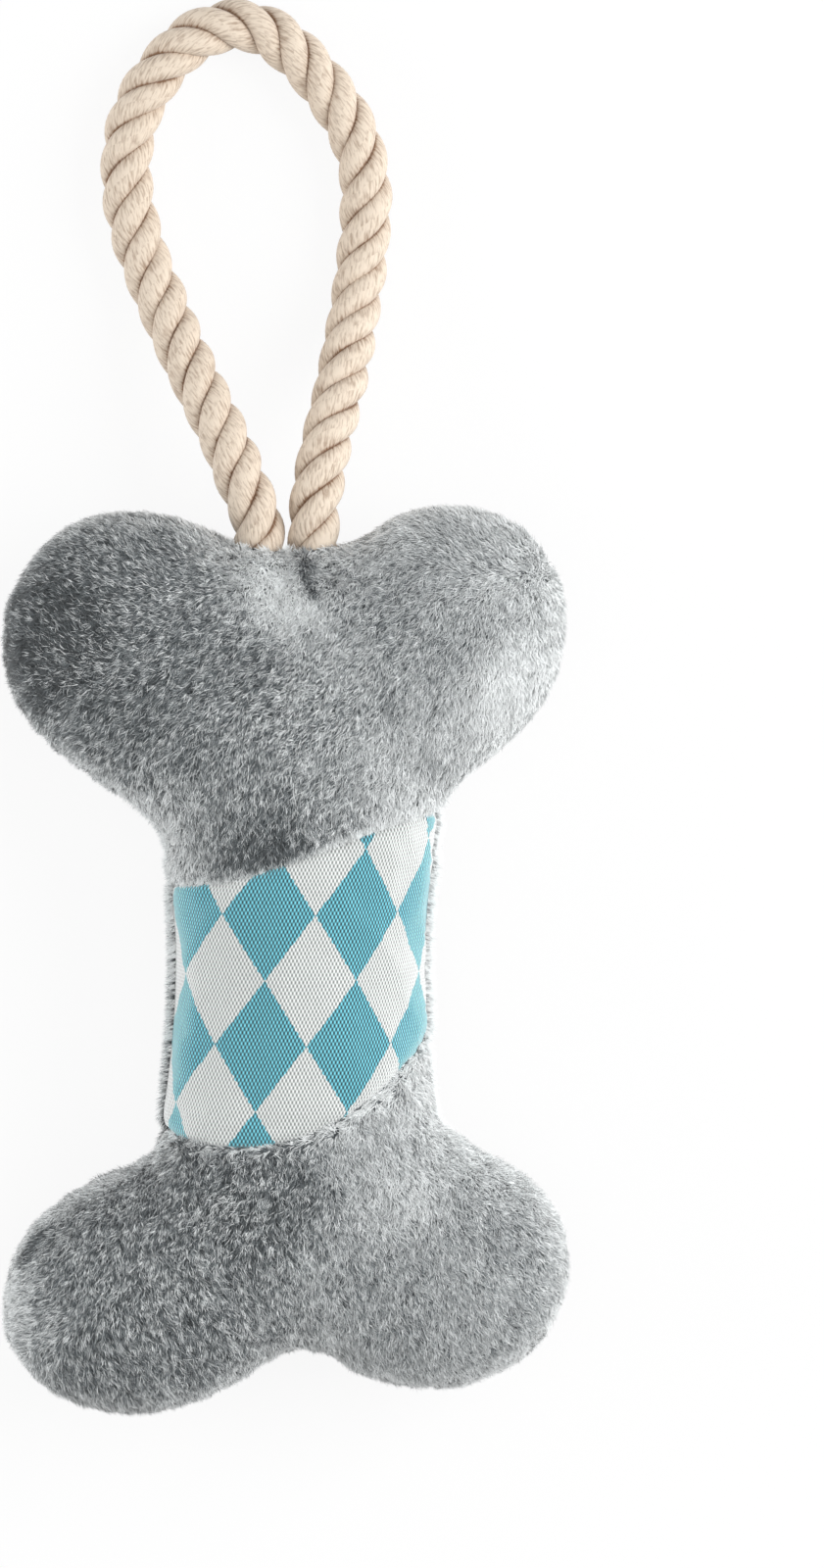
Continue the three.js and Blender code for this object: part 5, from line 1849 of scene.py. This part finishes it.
def set_floor():
    """A plain white floor, which shows near white to the camera and keeps the object's shadow."""
    half = 6.0
    corners = [(-half, -half, 0), (half, -half, 0), (half, half, 0), (-half, half, 0)]
    floor = mesh_object("floor", corners, [(0, 1, 2, 3)])
    material = bpy.data.materials.new("white studio paper")
    material.use_nodes = True
    tree = material.node_tree
    tree.nodes.clear()
    paper = add_node(tree, "ShaderNodeBsdfDiffuse", {"Color": linear("#F2F2F2")})
    glow = add_node(tree, "ShaderNodeEmission", {"Color": (1, 1, 1, 1), "Strength": 1.0})
    seen = add_node(tree, "ShaderNodeLightPath").outputs["Is Camera Ray"]
    seen = add_node(tree, "ShaderNodeMath", (seen, 0.9), operation="MULTIPLY")
    add_node(tree, "ShaderNodeOutputMaterial", (add_node(tree, "ShaderNodeMixShader", (seen, paper, glow)),))
    floor.data.materials.append(material)


# Each lamp's place, size and power
LAMPS = {
    "key": ((0.95, 0.25, 0.7), 0.9, 13.8),
    "side": ((-1.0, 0.05, 0.25), 0.8, 6.5),
    "top": ((-0.1, -0.1, 1.3), 1.2, 3.0),
}
LIT_PLACE = Vector((0, 0.03, 0.02))
SURROUND_ON_OBJECT, SURROUND_SEEN = 0.42, 1.0


def set_lights(scene):
    """A broad key light from the right, weaker ones from the left and above, and an even white surround."""
    for name, (place, size, power) in LAMPS.items():
        lamp = place_in_scene(name, bpy.data.lights.new(name, "AREA"))
        lamp.data.size = size
        lamp.data.energy = power
        lamp.location = place
        lamp.rotation_mode = "QUATERNION"
        lamp.rotation_quaternion = (LIT_PLACE - Vector(place)).to_track_quat("-Z", "Y")
    world = scene.world or bpy.data.worlds.new("surround")
    scene.world = world
    world.use_nodes = True
    tree = world.node_tree
    tree.nodes.clear()
    path = add_node(tree, "ShaderNodeLightPath")
    seen = path.outputs["Is Camera Ray"]
    for ray in ("Is Glossy Ray", "Is Transmission Ray"):
        seen = add_node(tree, "ShaderNodeMath", (seen, path.outputs[ray]), operation="ADD", use_clamp=True)
    strength = add_node(tree, "ShaderNodeMapRange", (seen, 0, 1, SURROUND_ON_OBJECT, SURROUND_SEEN))
    sky = add_node(tree, "ShaderNodeBackground", {"Color": (1, 1, 1, 1), "Strength": strength})
    add_node(tree, "ShaderNodeOutputWorld", (sky,))


class PLUSHBONE_PT_panel(bpy.types.Panel):
    """Lists the pieces of the toy and their sizes"""

    bl_label = "Plush bone"
    bl_idname = "PLUSHBONE_PT_panel"
    bl_space_type = "VIEW_3D"
    bl_region_type = "UI"
    bl_category = "Plush bone"

    def draw(self, context):
        for operator in OPERATORS:
            self.layout.operator(operator.bl_idname)
        for name, group in PROPERTY_GROUPS.items():
            box = self.layout.box()
            for key in group.__annotations__:
                box.prop(getattr(context.scene, name), key)


OPERATORS = (
    PLUSHBONE_OT_stage,
    PLUSHBONE_OT_rope_loop,
    PLUSHBONE_OT_plush_panels,
    PLUSHBONE_OT_canvas_band,
    PLUSHBONE_OT_pile,
    PLUSHBONE_OT_stitches,
    PLUSHBONE_OT_sewn_in_rope,
    PLUSHBONE_OT_filling,
    PLUSHBONE_OT_squeaker,
)


def register():
    for name, group in PROPERTY_GROUPS.items():
        bpy.utils.register_class(group)
        setattr(bpy.types.Scene, name, bpy.props.PointerProperty(type=group))
    for shown in (*OPERATORS, PLUSHBONE_PT_panel):
        bpy.utils.register_class(shown)


def unregister():
    for shown in (*OPERATORS, PLUSHBONE_PT_panel):
        bpy.utils.unregister_class(shown)
    for name, group in PROPERTY_GROUPS.items():
        delattr(bpy.types.Scene, name)
        bpy.utils.unregister_class(group)


def main():
    register()
    for operator in OPERATORS:
        area, action = operator.bl_idname.split(".")
        getattr(getattr(bpy.ops, area), action)()


if __name__ == "__main__":
    main()
